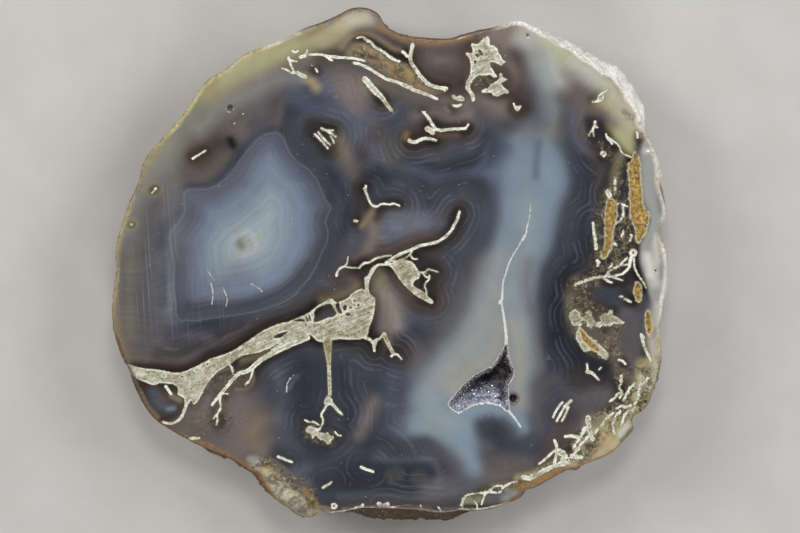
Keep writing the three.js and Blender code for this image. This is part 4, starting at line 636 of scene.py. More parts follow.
    ("rose", 0.75, 1, 1.5, [(5, 29.4), (9.8, 30), (12.4, 28.8), (15.6, 29.6)]),
    ("umber", 0.7, 1.2, 0.9, [(4, 24.4), (8.6, 26), (14.6, 26.8)]),
    ("tan", 0.5, 0.5, 0.9, [(9.8, 25.5), (13.4, 25.6)]),
    ("rust", 0.85, 0.5, 0.9, [(3.3, 25.8), (3.1, 25)]),
    ("umber", 0.6, 1.8, 1.6, [(17, 43), (18.6, 38.6), (21, 35)]),
    ("cream", 0.6, 1.1, 1.3, [(-11.6, 46.4), (-8, 48.4), (-5, 49)]),
    ("oliveDark", 0.6, 1.6, 2, [(-1.8, 26.4), (0.4, 22.6), (1.6, 20.6)]),
    ("paleBlue", 0.4, 1.6, 2, [(1.4, 7.6), (6.4, 7.6)]),
    ("slateBlue", 0.5, 0.7, 1.2, [(3.8, -11.4), (7.6, -11)]),
    ("brownGrey", 0.5, 1.3, 2, [(7.4, -44.8), (12, -44)]),
    ("chalk", 0.6, 0.8, 1, [(52.6, -16), (52.6, -20.6), (51.6, -25)]),
    ("white", 0.6, 0.7, 0.7, [(51.4, 1.6), (51.8, -0.4), (52, -2.4)]),
    ("rose", 0.6, 0.35, 0.7, [(54.2, 1.4), (54.4, -3)]),
    ("pearl", 0.7, 0.9, 1, [(50.6, 22), (50.6, 16), (52.4, 9.6)]),
    ("chalk", 0.4, 1.6, 2.2, [(36.6, 39.6), (41, 37.4)]),

    ("umber", 0.6, 1.6, 1.6, [(35.6, -4.4), (39, -4.6), (38.6, -8), (42, -9.4)]),
    ("cream", 0.65, 1.2, 1.4, [(-26.4, -41), (-22.6, -44), (-19, -48)]),
    ("cream", 0.8, 0.8, 1, [(50.4, -21.6), (50.2, -26.4)]),
    ("white", 0.6, 0.7, 0.9, [(53.2, 3.2), (53.5, 0.4)]),
    ("white", 0.4, 0.7, 0.9, [(53.4, -8.6), (53.4, -12)]),
    ("smoke", 0.4, 0.7, 0.8, [(54, 13.2), (54.2, 10.6)]),
    ("pearl", 0.4, 1.4, 2, [(28, 44), (30, 40), (31.4, 36)]),
    ("chalk", 0.35, 1.4, 2, [(25.6, 44.6), (29.6, 44.6), (34, 43)]),
    ("lime", 0.6, 1, 1.6, [(-28, 40), (-24, 41.6), (-20, 43.2)]),
    ("rimGreen", 0.5, 0.9, 1.2, [(-41.4, 29.6), (-39, 32)]),
    ("brownGrey", 0.3, 1.6, 2, [(32, 32), (36, 34)]),
    ("night", 0.35, 1.2, 1.4, [(21, -33.6), (22, -35.6)]),
    ("slate", 0.65, 0.8, 1.3, [(21.4, -35.4), (25.2, -36.4), (28.8, -34.6)]),
    ("pearl", 0.3, 2, 3, [(-27, 38.4), (-24, 39.4)]),
    ("beige", 0.35, 1.4, 2.4, [(28.4, 41), (28.4, 37)]),
    ("umber", 0.3, 1.4, 2, [(21.6, 41), (22.4, 37)]),
    ("smoke", 0.4, 2, 3, [(27, 27.4), (35, 26.6)]),
    ("pearl", 0.28, 2.4, 3, [(-44, 22), (-43.4, 14), (-43, 8), (-44, 2)]),
    ("ink", 0.5, 2.2, 2.4, [(45.6, 13), (46, 2)]),
    ("ink", 0.35, 2, 2.4, [(40, 12), (40, 5)]),
    ("rose", 0.35, 1.4, 2.4, [(3.6, -1.6), (4.4, -5)]),
    ("brownGrey", 0.4, 1.4, 2.4, [(-9, -2.4), (-7, -3.6)]),
    ("night", 0.5, 1.4, 1.8, [(-22, -17), (-18, -15.2)]),
    ("pearl", 0.24, 2.6, 3, [(-45, -27), (-36, -26.4), (-32, -22.6)]),
    ("ink", 0.4, 2, 2.6, [(-14, -21), (-14.6, -24)]),
    ("ink", 0.5, 1.8, 2.4, [(-14, -31), (-14, -37)]),
    ("pearl", 0.2, 1.6, 2.6, [(-20.6, -32), (-20, -35)]),
    ("ink", 0.5, 2, 3, [(33.4, -26), (34.4, -30)]),
    ("smoke", 0.45, 1.6, 2, [(37, -34), (41, -31)]),
    ("rose", 0.28, 2, 3, [(9, -38), (13, -40.6)]),
    ("pearl", 0.28, 2, 2.6, [(8, -45.4), (16, -45), (23, -44.6)]),
    ("chalk", 0.35, 1.6, 2, [(-23, -43), (-19, -47)]),
    ("rimYellow", 0.55, 1.2, 0.9, [(-47.4, 14.6), (-46.9, 14.8)]),
    ("umber", 0.75, 0.7, 0.8, [(-47.4, 14.6), (-46.9, 14.8)]),
    ("rimYellow", 0.5, 0.9, 0.8, [(-51.8, 7.6), (-51.4, 7.7)]),
    ("umber", 0.7, 0.5, 0.8, [(-51.8, 7.6), (-51.4, 7.7)]),
    ("umber", 0.6, 1.1, 1, [(-39.4, 21.2), (-37, 22.6)]),
    ("smoke", 0.5, 1.5, 0.9, [(0.4, -42.4), (1.4, -42.2)]),
    ("chalk", 0.4, 0.4, 0.7, [(-31, 4.8), (-28.2, 6.4), (-26.8, 3), (-29.2, 1.6)]),
    ("umber", 0.6, 0.7, 0.9, [(-6.8, 15), (-6.3, 11.4), (-7, 8.4)]),
    ("umber", 0.6, 0.6, 0.8, [(-1.4, 10.8), (-2.8, 8.8)]),
    ("tan", 0.8, 0.6, 0.8, [(-3.3, 11), (-4, 9.6), (-5.6, 7.4)]),
    ("oliveDark", 0.6, 0.7, 0.8, [(0.6, -42.4), (1.3, -42.2)]),
    ("smoke", 0.5, 1.4, 0.9, [(5.4, -42.9), (6, -42.7)]),
    ("oliveDark", 0.6, 0.7, 0.8, [(5.5, -42.9), (6, -42.7)]),

    # the brown sleeve over the root, then the rim's own tones
    ("umber", 0.85, 0.35, 0.7, [(-48, -20.4), (-42, -20.8), (-38, -19.2), (-33, -17), (-30, -15.4),
     (-27, -13.6), (-24, -12.2), (-19, -10.4)]),
    ("maroon", 0.6, 0.5, 0.9, [(-38, -17), (-33, -15), (-28, -12.4)]),
    ("tan", 0.75, 0.9, 1.3, [(-13.4, -7.4), (-11, -6.8), (-8.6, -6), (-6.6, -4.6)]),
    ("olive", 0.8, 0.8, 0.8, [(-29.4, -19.4), (-26.8, -18.8), (-23, -17)]),
    ("violet", 0.7, 0.12, 0.5, [(-46, -18.6), (-42, -19.2), (-38.6, -17.8), (-34, -15.6), (-28, -12.6)]),
    ("white", 0.9, 0.35, 0.5, [(50.2, 30.6), (50.9, 27.8), (52.6, 24.4), (53.5, 21), (53.9, 17),
     (54.6, 12.6), (55, 9.8), (54.5, 7.8), (53.8, 5.6), (54.6, 3.8), (55.2, 0.4), (54.9, -5), (54.3, -10),
     (53.9, -15), (54.1, -19)]),
    ("white", 0.6, 0.3, 0.6, [(54.1, -19), (52.9, -24.2), (51.6, -27.6), (50.2, -29.4)]),
    ("chalk", 0.9, 0.6, 0.5, [(51.2, 22.4), (51.9, 22.5)]),
    ("chalk", 0.9, 0.4, 0.5, [(52.9, 4), (53.2, 5.6)]),
    ("sheet", 0.75, 2.2, 2.6, [(-36, 34.6), (-30, 38.8), (-24, 41.6), (-17, 43.6), (-11, 45.6)]),
    ("lime", 0.7, 1.4, 2, [(-33, 36.8), (-27, 40.2), (-21, 42.6), (-15, 45)]),
    ("cream", 0.75, 0.7, 1.4, [(-34, 38), (-30, 41.2), (-25, 43.4), (-20, 45.8), (-14, 48)]),
    ("cream", 0.6, 0.3, 1.3, [(-55.6, -4), (-55, 4), (-53, 12), (-49.4, 20), (-44, 28), (-38, 35)]),
    ("rimYellow", 0.8, 0.4, 0.9, [(-54.6, 0), (-53.6, 7), (-51, 15), (-46, 23), (-40, 31), (-33, 38.4)]),
    ("tan", 0.75, 0.6, 1.1, [(-53, -19), (-54.4, -14), (-55, -8), (-54.6, -2)]),
    ("rust", 0.85, 0.5, 0.8, [(-2.5, 47.4), (-0.5, 46.2), (1.5, 45.2), (4, 44.7), (8, 44.1), (12, 44.4),
     (16, 45.3)]),
    ("rust", 0.8, 0.5, 0.9, [(-41, -35.2), (-38, -36), (-35, -37.4), (-32, -38.8), (-28, -41.4),
     (-25.5, -43)]),
    ("rust", 0.8, 0.6, 0.9, [(25.5, -44.6), (27, -44.8), (29, -44.2), (31, -43.2), (33, -41.8),
     (34.5, -41.2)]),
    ("honey", 0.7, 0.5, 0.8, [(35.4, -40.8), (39, -39.6), (42.6, -38.2), (45.6, -36)]),
    ("rust", 0.7, 0.4, 0.8, [(-13.6, 47.2), (-16, 45.6)]),
]

# Polished edge, clockwise from the lobe at the top: x, y, and how far the rind stands out below it
polishedEdge = [
    (-10, 49.8, 0), (-7.8, 50.9, 0), (-5.3, 51.1, 0), (-3.3, 50.5, 0), (-2.1, 49.5, 0), (-1, 47.7, 0),
    (0.3, 46.6, 0), (3, 45.5, 0), (7, 45.1, 0), (11.5, 44.9, 0), (14.5, 45.7, 0), (18, 46.6, 0),
    (22, 47.4, 0), (24.5, 48.3, 0), (26.7, 48.2, 0.1), (29.2, 47, 0.3), (31.2, 45.7, 0.7),
    (33.2, 44.5, 1.1), (36.5, 42.8, 1.5), (39.3, 40.6, 1.8), (42, 39, 1.8), (44.3, 37.4, 2.2),
    (46.3, 35.1, 2.4), (47.9, 33, 2.1), (49.4, 30.8, 1.8), (50.1, 28.8, 1.5), (50.4, 27.3, 1),
    (51.3, 25.6, 0.8), (52.3, 23.7, 0.7), (53.1, 21.7, 0.7), (53.6, 19.6, 0.6), (53.8, 17, 0.5),
    (54.1, 14.5, 0.4), (54.8, 12, 0.3), (55.1, 9.7, 0.2), (54.8, 8.3, 0.1), (54, 7, 0.2), (53.8, 5.8, 0.3),
    (54.2, 4.8, 0.4), (54.9, 3.4, 0.5), (55.3, 1.2, 0.5), (55.3, -1, 0.5), (55.1, -4.5, 0.5),
    (54.6, -8, 0.4), (54.1, -11.5, 0.2), (53.9, -14.7, 0.1), (54.3, -17.5, 0.1), (54, -21.2, 0.1),
    (52.8, -24.8, 0.1), (51.6, -28, 0.1), (50.3, -29.7, 0), (48.7, -30.7, 0), (48.4, -32.1, 0),
    (48.7, -33.2, 0), (47, -35.2, 0), (44.7, -37.6, 0), (42, -39.1, 0), (39, -40.2, 0), (37.2, -41.3, 0),
    (35.6, -41.3, 0), (34, -42, 0), (31, -43.8, 0), (28.9, -44.9, 0), (27.2, -45.4, 0), (26.2, -46.8, 0),
    (23.5, -48, 0.1), (20, -49.2, 0.3), (16.5, -49.5, 0.8), (14, -49.5, 1.3), (12, -49.8, 1.7),
    (9, -49.9, 1.4), (6, -49.4, 1.8), (2.5, -49.2, 2.2), (-1, -49.1, 2.3), (-5, -48.9, 2.2),
    (-7.5, -49.3, 1.2), (-10, -50, 0.3), (-12.2, -50.2, 0.1), (-13.6, -49.4, 0.1), (-14.7, -50.3, 0),
    (-16.5, -50.8, 0), (-18.5, -50.4, 0), (-20.2, -49.1, 0), (-22.2, -47.8, 0.1), (-24, -46, 0.3),
    (-25.3, -44.3, 0.6), (-26.6, -42.4, 0.9), (-28.4, -41.2, 0.9), (-30.3, -39.9, 0.9), (-32.3, -38.8, 0.9),
    (-35, -37.7, 0.8), (-38, -36.4, 0.5), (-41, -35, 0.3), (-44, -33.3, 0.1), (-46.8, -31.4, 0),
    (-48.6, -29.3, 0), (-50.2, -26.5, 0), (-51.4, -23.8, 0), (-52.2, -21.3, 0), (-53.4, -19, 0),
    (-54.3, -16.7, 0), (-55.2, -13.6, 0), (-55.6, -9.5, 0), (-55.3, -6.3, 0), (-54.9, -3.2, 0),
    (-54.5, -1.1, 0), (-54.9, 1.8, 0), (-54.5, 4.8, 0), (-53.5, 7.9, 0), (-52.5, 11, 0), (-51.2, 14, 0),
    (-50.1, 16.8, 0), (-49.6, 19.3, 0), (-48.2, 21.9, 0), (-46, 24.3, 0), (-44, 26.7, 0), (-41.9, 29, 0),
    (-40.5, 31, 0), (-39.2, 32.8, 0), (-37.7, 35.1, 0), (-36, 36.9, 0), (-33, 38.7, 0), (-30.7, 40.6, 0),
    (-28.2, 42.2, 0), (-24.5, 43.5, 0), (-20.5, 45.2, 0), (-17.5, 46.8, 0), (-13.5, 48.2, 0),
]
# Mouth of the vug, clockwise from its upper tip: x, y, and 1 where the floor climbs gently to it
vugEdge = [
    (23.2, -16.4, 0), (23.5, -18.3, 0), (24, -20, 0), (24.6, -21.7, 0), (24.2, -23.2, 0), (23.6, -24.2, 0),
    (23.5, -26.4, 0.1), (23.6, -28.1, 0.4), (23.6, -29.5, 0.8), (22.5, -28.7, 1), (21.2, -28.1, 1),
    (19.6, -27.8, 1), (18, -27.9, 1), (16.4, -28.4, 1), (15, -29.1, 0.9), (13.6, -29.7, 0.7),
    (11.8, -28.3, 0.3), (13, -26.6, 0.1), (14.2, -25.1, 0), (15.6, -23.8, 0), (17, -22.6, 0),
    (18.6, -21.7, 0), (20, -20.9, 0), (21.5, -19.6, 0), (22, -18.5, 0), (22.6, -17.9, 0),
]
# Small pits in the polish: x, y, radius, depth
facePits = [
    (24.6, -27, 0.85, 2.4), (-32, 31.1, 0.75, 1.2), (27.5, 45.6, 0.45, 0.8), (53.1, -1.5, 0.4, 0.8),
    (51.1, -27.7, 0.4, 0.9), (50, -29.4, 0.4, 0.9), (-15.4, 39.9, 0.3, 0.5), (31.6, -18.9, 0.3, 0.5),
]

# Where brown, grainy moss clouds the stone: strength, half width (0 fills), softness, points
mossAreas = [
    (0.9, 0, 1, [(35.6, -4.6), (38, -2.8), (41.6, -3.8), (39.6, -7), (42, -9), (46, -11.4), (46.4, -12.8),
     (42.6, -13.6), (44.4, -16), (44, -19.2), (40, -18), (37.6, -15.6), (35.8, -11.6)]),
    (0.8, 1, 1, [(44.8, -13.6), (45.2, -17.4), (45.2, -21), (46.6, -24)]),
    (0.85, 0, 1, [(42, 12), (46.6, 20), (47.6, 12), (48.6, 3), (44, -2.6), (40.4, -2), (41, 6)]),
    (0.7, 0.8, 0.8, [(39.8, 25.4), (42.4, 23.2), (44.4, 21.4)]),
    (0.6, 0.8, 0.8, [(47, 30), (49, 28.4), (50.2, 26)]),
    (0.9, 0, 1, [(46, -23), (51, -20), (53, -23), (51, -29), (48, -31), (44, -34), (39, -40), (34, -41),
     (26, -44.4), (26, -42.4), (33, -39.4), (37, -34), (42, -29.4), (46, -27)]),
    (0.6, 1, 0.8, [(24.6, -44.4), (20, -45.4), (15, -47)]),
    (0.7, 0, 1.2, [(-8.6, 42.6), (-5, 44.4), (-1.6, 42), (2, 40), (4.2, 39.6), (8, 35.4), (10.6, 34.6),
     (4, 35.6), (-1, 38.2), (-6, 40.6)]),
    (0.6, 1.4, 1.2, [(18.6, 44.4), (18.6, 39.6), (17.4, 35.6)]),
    (0.6, 1.2, 1, [(20, 36), (22.6, 34.6)]),
    (0.5, 1, 1.2, [(-37, -25), (-34.6, -24), (-31, -22.6), (-29, -24)]),
    (0.8, 1.6, 1.2, [(-15.4, -33.8), (-12.6, -34.8)]),
    (0.35, 2.6, 3, [(-37, -32), (-33, -31)]),
    (0.75, 0, 0.8, [(-28, -39.6), (-24, -39), (-20, -42), (-16, -43.4), (-14, -48), (-14, -51), (-20, -51),
     (-26, -45)]),
]
# Where fine upright lines are rubbed into the polish
hatchAreas = [
    (1, 0, 3, [(-54, -10), (-53, 4), (-49, 13), (-45, 17), (-41, 12), (-41.5, 2), (-41, -6), (-40, -14),
     (-46, -17), (-52, -15)]),
    (0.5, 0, 3, [(-41, -6), (-38, 4), (-34, -2), (-32, -10), (-37, -14)]),
]

# White quartz: the rim round the vug's mouth, and cracks as start width, end width and points
vugRim = 0.2
cracks = [
    (0.6, 0.25, [(23.2, -16.1), (23.2, -14.5), (22.8, -11), (22.3, -7.9)]),
    (0.6, 0.2, [(22, -7.9), (22.4, -7.1), (22.4, -6)]),
    (0.25, 0.1, [(22.4, -6.4), (22.6, -4), (23.1, -2.3), (24, 0.4), (25.6, 3.2), (27, 5.5)]),
    (0.45, 0.1, [(26.5, 4.7), (27.2, 5.9), (27.4, 7.2)]),
    (0.15, 0.02, [(27.4, 7.2), (27.9, 9.2), (28.1, 11.8)]),
    (0.14, 0.02, [(-20.7, -25.8), (-20.6, -24.4), (-20, -23.2), (-19.2, -22.4)]),
    (0.45, 0.2, [(23.6, -29.4), (24.9, -31), (26.1, -32.8)]),
    (0.1, 0.02, [(-36.4, -1.6), (-35.2, -3.4)]),
    (0.12, 0.02, [(-35.8, -4), (-35.4, -6), (-35.6, -8.2)]),
    (0.1, 0.02, [(-33.4, -5), (-32.6, -7), (-32.8, -8.8)]),
    (0.12, 0.02, [(-27.8, -4.2), (-26.6, -4.8), (-25.4, -5.8)]),
]
# Where the cream pieces are stained olive, and where the vug's floor is pale: its own lilac with painted
# light where the floor faces the lamps
oliveStains = [
    (0.4, 0, 1, [(-11, -6.4), (-7, -4), (-3, -3.6), (-2.6, -6), (-5, -8.6), (-8, -8.4)]),
    (0.5, 0, 1, [(1, 1), (4, 0.6), (5.4, -2), (3.6, -4)]),
    (0.25, 0.8, 1, [(-50, -21.4), (-44, -21.4), (-38, -20), (-33, -17.8)]),
    (0.6, 0.5, 0.6, [(-5, -11), (-5.6, -14), (-10, -14.4)]),
    (0.5, 1.2, 1.2, [(-12.4, -17), (-12.2, -22)]),
    (0.5, 0, 0.6, [(37.4, -13), (40, -14), (43.4, -19), (41, -18.6), (38, -16)]),
    (0.4, 0, 1, [(18, 45), (20.6, 41), (18, 37), (16.6, 40)]),
    (0.55, 1.6, 0.8, [(37, -10.6), (45, -10.6)]),
]
paleLitFloor = [
    (0.55, 0, 1.8, [(13, -28.4), (17, -25), (21.4, -23.6), (22.8, -25.6), (22.6, -28.6), (18, -28.4),
     (14, -29.6)]),
    (0.85, 0.7, 1, [(13.4, -29), (15.4, -27.9), (18, -26.9), (20.6, -26.9), (22.6, -28)]),
]

# How strongly the growth bands show: a start value, then areas that change it
bandStart = 0.55
bandAreas = [
    (1, 0, 3, [(-18, 33), (-8, 40), (-1, 34), (4, 24), (18, 26), (22, 18), (18, 6), (13, -10), (4, -13),
     (-4, -4), (-2, 10), (-10, 20)]),
    (0.8, 0, 3, [(-50, -18), (-47, -10), (-44, -15), (-34, -13), (-24, -10), (-16, -2), (-20, -12),
     (-34, -20)]),
    (0.9, 0, 3, [(-24, -20), (-8, -14), (5, -14), (6, -24), (4, -34), (-6, -37), (-20, -34)]),
    (0.8, 0, 3, [(-16, -44), (-4, -37), (6, -35), (12, -38), (15, -44), (0, -51), (-12, -50)]),
    (0.8, 0, 2.5, [(35, 30), (38, 28), (42, 18), (41, 4), (37, -4), (36, -20), (32, -20), (31, -6),
     (34, 6), (36, 20)]),
    (0.10, 0, 3.5, [(21.6, 28), (20.4, 20), (18, 8), (14, -6), (8, -15), (3, -22), (3, -30), (10, -38),
     (16, -43), (20, -37), (28, -35), (30, -22), (30, -6), (33, 6), (35, 18), (33, 30), (34, 42), (30, 48),
     (24, 46), (28, 36)]),
    (0.7, 0, 2, [(-40, 13), (-28, 22), (-23, 24), (-15, 13), (-14, 6), (-20, -5), (-30, -8), (-40, -9)]),
    (0.22, 0, 3, [(-54, 8), (-48, 22), (-36, 36), (-24, 44), (-12, 47), (-18, 40), (-30, 34), (-40, 24),
     (-48, 12)]),
    (0.15, 0, 2, [(50.5, 27), (51.2, 14), (51, 0), (52, -8), (58, -8), (58, 24)]),
    (0.2, 0, 3, [(-40, -30), (-24, -28), (-22, -36), (-34, -40)]),
]

rindTones = {
    "earth": (118, 98, 70), "chalk": (255, 253, 248), "cream": (206, 196, 160), "olive": (150, 140, 92),
    "umber": (86, 68, 50), "rust": (130, 94, 60), "grey": (150, 142, 124), "lilac": (128, 126, 142),
    "straw": (200, 190, 138),
}
# Tones of the rind by the stretch of edge that they lie beside
rindZones = [
    ("chalk", 1, 5, 3, [(27, 48.6), (31, 47), (36, 44.4), (42, 40), (46, 36.6), (49, 33), (51.4, 29.4)]),
    ("chalk", 0.85, 3, 2, [(51.4, 28), (53.6, 23), (54.6, 17), (55, 9), (55.2, 0), (55, -8), (54.2, -17)]),
    ("olive", 0.7, 3, 3, [(54.6, -12), (53.6, -22), (50, -30), (46, -36)]),
    ("rust", 0.8, 3, 3, [(40, -40), (34, -42.6), (28, -45.4), (24, -48)]),
    ("umber", 0.8, 3.5, 3, [(20, -49.6), (10, -50.6), (0, -50.6), (-8, -50.6)]),
    ("grey", 0.7, 3, 3, [(-13, -51), (-19, -51), (-24, -47)]),
    ("rust", 0.9, 3, 3, [(-26, -43), (-33, -39), (-40, -36), (-46, -32)]),
    ("umber", 0.7, 3, 3, [(-50, -27), (-54, -18)]),
    ("straw", 0.6, 3, 3, [(-56, -10), (-56, 2), (-53, 12), (-48, 23)]),
    ("straw", 0.95, 3.5, 3, [(-44, 27), (-38, 35), (-30, 41.6), (-20, 46)]),
    ("chalk", 0.7, 2, 2, [(-24, 44.6), (-17, 47.6)]),
    ("lilac", 1, 9, 2, [(14, -28), (22, -20), (22, -28)]),
    ("rust", 0.9, 3, 2, [(-14, 49), (-6, 51.6), (-1, 48), (4, 46), (12, 45.6), (18, 47)]),
]


def smoothPath(points, step=0.35, closed=False):
    # Catmull-Rom curve through the points, cut into stretches of about step
    points = np.asarray(points, float)
    if closed:
        points = np.vstack([points[-1], points, points[:2]])
    elif len(points) < 3:
        return points
    else:
        points = np.vstack([2 * points[0] - points[1], points, 2 * points[-1] - points[-2]])
    pieces = []
    for a, b, c, d in zip(points, points[1:], points[2:], points[3:]):
        count = max(1, int(np.ceil(np.hypot(*(c - b)[:2]) / step)))
        t = (np.arange(count) / count)[:, None]
        pieces.append(0.5 * (2 * b + (c - a) * t + (2 * a - 5 * b + 4 * c - d) * t**2
                             + (3 * b - a - 3 * c + d) * t**3))
    if not closed:
        pieces.append(points[-2:-1])
    return np.vstack(pieces)


def travelled(path):
    # how far along the path each of its points lies
    steps = np.hypot(*np.diff(path[:, :2], axis=0).T)
    return np.concatenate([[0], np.cumsum(steps)])


def nearPath(x, y, path, margin):
    # which points lie in the path's box, grown by a margin
    low, high = path.min(0) - margin, path.max(0) + margin
    return np.nonzero((x > low[0]) & (x < high[0]) & (y > low[1]) & (y < high[1]))[0]


def strokeDistance(x, y, path, halfWidths):
    # least of the distances to the path's stretches, less the half width there
    if len(path) == 1:
        return np.hypot(x - path[0, 0], y - path[0, 1]) - halfWidths[0]
    best = np.full(x.shape, 1e3)
    for start, way, half, grow in zip(path, np.diff(path, axis=0), halfWidths, np.diff(halfWidths)):
        t = np.clip(((x - start[0]) * way[0] + (y - start[1]) * way[1]) / max(way @ way, 1e-12), 0, 1)
        away = np.hypot(x - start[0] - way[0] * t, y - start[1] - way[1] * t)
        best = np.minimum(best, away - half - grow * t)
    return best


def outlineDistance(x, y, outline):
    # distance to a closed outline, negative inside it by the even number of crossings
    best = np.full(x.shape, 1e6)
    inside = np.zeros(x.shape, bool)
    for (ax, ay), (cx, cy) in zip(outline, np.roll(outline, -1, axis=0)):
        bx, by = cx - ax, cy - ay
        t = np.clip(((x - ax) * bx + (y - ay) * by) / max(bx * bx + by * by, 1e-12), 0, 1)
        best = np.minimum(best, (x - ax - bx * t)**2 + (y - ay - by * t)**2)
        if by:
            inside ^= ((ay > y) != (cy > y)) & (x < ax + bx * (y - ay) / by)
    return np.where(inside, -1, 1) * np.sqrt(best)


def smoothStep(low, high, value):
    # three t squared less two t cubed between low and high
    t = np.clip((value - low) / (high - low), 0, 1)
    return t * t * (3 - 2 * t)


def rampTone(value, stops):
    # straight blend between the listed tones
    places, colours = [s[0] for s in stops], np.array([s[1] for s in stops], float)
    return np.stack([np.interp(value, places, colours[:, c]) for c in range(3)], -1)


def noiseHeights(x, y, z, seed=0):
    # smooth noise from -1 to 1: hashed heights at whole-number corners, blended by a fifth-power fade
    total = 0
    cells = [np.floor(v).astype(np.int64) for v in (x, y, z)]
    shares = [v - c for v, c in zip((x, y, z), cells)]
    fades = [s**3 * (s * (6 * s - 15) + 10) for s in shares]
    for corner in range(8):
        weight = 1
        key = np.full(x.shape, seed * 1013904223, np.int64)
        for axis, prime in enumerate((73856093, 19349663, 83492791)):
            far = corner >> axis & 1
            weight = weight * (fades[axis] if far else 1 - fades[axis])
            key = key ^ ((cells[axis] + far) * prime)
        key = (key ^ (key >> 13)) * 1274126177 & 0x7FFFFFFF
        key = (key ^ (key >> 16)) * 2246822519 & 0x7FFFFFFF
        total = total + weight * ((key & 0xFFFF) / 32767.5 - 1)
    return total


def fractalNoise(x, y, z, spacing, octaves=4, seed=0):
    # octaves of noise, each at half the spacing and half the height of the one before
    total, height = 0, 1
    for octave in range(octaves):
        total = total + height * noiseHeights(x / spacing, y / spacing, z / spacing, seed + octave)
        spacing, height = spacing / 2.03, height / 2
    return total


filamentReach = 2.2      # mm round a filament within which its distance is worked out
wallSpacing = 0.6        # mm between the points that the bands are measured from
creaseSoftness = 0.35    # mm, rounds the creases where two sets of bands meet
veinReach = 2.0          # mm round the quartz


def filamentField(x, y):
    # least distance to the cream pieces, negative inside them, and how olive the nearest one is
    nearest, olive = np.full(x.shape, filamentReach), np.zeros(x.shape)
    for startWidth, endWidth, tint, points in strands:
        path = smoothPath(points)
        rows = nearPath(x, y, path, filamentReach + startWidth)
        if not len(rows):
            continue
        run = travelled(path)
        halves = (startWidth + (endWidth - startWidth) * run / max(run[-1], 1e-9)) / 2
        away = strokeDistance(x[rows], y[rows], path, halves)
        better = away < nearest[rows]
        nearest[rows[better]], olive[rows[better]] = away[better], tint
    for tint, outline, windows in sheets:
        edge = smoothPath(outline, 0.5, True)
        rows = nearPath(x, y, edge, filamentReach)
        if not len(rows):
            continue
        away = outlineDistance(x[rows], y[rows], edge)
        for window in windows:
            away = np.maximum(away, -outlineDistance(x[rows], y[rows], smoothPath(window, 0.4, True)))
        better = away < nearest[rows]
        nearest[rows[better]], olive[rows[better]] = away[better], tint
    return nearest, olive


def wallPoints():
    # points along every filament that the bands grew round
    paths = [smoothPath(points, wallSpacing) for _, _, tint, points in strands if tint <= 0.5]
    return np.vstack(paths + [smoothPath(outline, wallSpacing, True) for _, outline, _ in sheets])


def growthField(x, y):
    # distance to the nearest wall point as a soft minimum: minus s times the log of the sum of exp(-d / s)
    walls, growth, slab = wallPoints(), np.empty(len(x)), 4000
    for first in range(0, len(x), slab):
        rows = slice(first, first + slab)
        away = np.hypot(x[rows, None] - walls[:, 0], y[rows, None] - walls[:, 1])
        least = away.min(1)
        near = np.exp((least[:, None] - away) / creaseSoftness).sum(1)
        growth[rows] = least - creaseSoftness * np.log(near)
    return growth


def areaWeight(x, y, width, softness, points):
    # 1 inside a stroke of that half width, or inside an outline where it is 0, with a soft edge
    path = smoothPath(points, 1.0, width == 0)
    rows = nearPath(x, y, path, width + softness)
    if width:
        away = strokeDistance(x[rows], y[rows], path, np.full(len(path), width))
    else:
        away = outlineDistance(x[rows], y[rows], path)
    return rows, 1 - smoothStep(-softness, softness, away)


def chamberDepth(x, y):
    # distance inwards from the left-hand chamber's edge, negative outside it
    return -outlineDistance(x, y, smoothPath(chamberEdge, 1.0, True))


def paintedTone(x, y, growth, chamber):
    # the growth tones, with each zone's tone laid over them in turn
    colour = rampTone(growth, growthTones)
    for tone, strength, width, softness, points in zones:
        rows, weight = areaWeight(x, y, width, softness, points)
        over = rampTone(chamber[rows], chamberTones) if tone == "chamber" else np.array(tones[tone], float)
        colour[rows] += (over - colour[rows]) * (strength * weight)[:, None]
    return colour


def paintedShare(x, y, start, areas):
    # a start value that each area in turn pulls to its own by its weight
    share = np.full(x.shape, start)
    for goal, width, softness, points in areas:
        rows, weight = areaWeight(x, y, width, softness, points)
        share[rows] += (goal - share[rows]) * weight
    return share


def veinField(x, y):
    # least distance to the quartz in the crack or round the vug's mouth, negative inside it
    nearest = np.abs(outlineField(x, y, [np.array(vugEdge)[:, :2]], veinReach)) - vugRim
    for startWidth, endWidth, points in cracks:
        path = smoothPath(points)
        rows = nearPath(x, y, path, veinReach)
        halves = np.linspace(startWidth, endWidth, len(path)) / 2
        nearest[rows] = np.minimum(nearest[rows], strokeDistance(x[rows], y[rows], path, halves))
    return nearest


def outlineField(x, y, outlines, reach):
    # least distance to several outlines, negative inside them
    nearest = np.full(x.shape, reach)
    for outline in outlines:
        edge = smoothPath(outline, 0.5, True)
        rows = nearPath(x, y, edge, reach)
        if len(rows):
            nearest[rows] = np.minimum(nearest[rows], outlineDistance(x[rows], y[rows], edge))
    return nearest


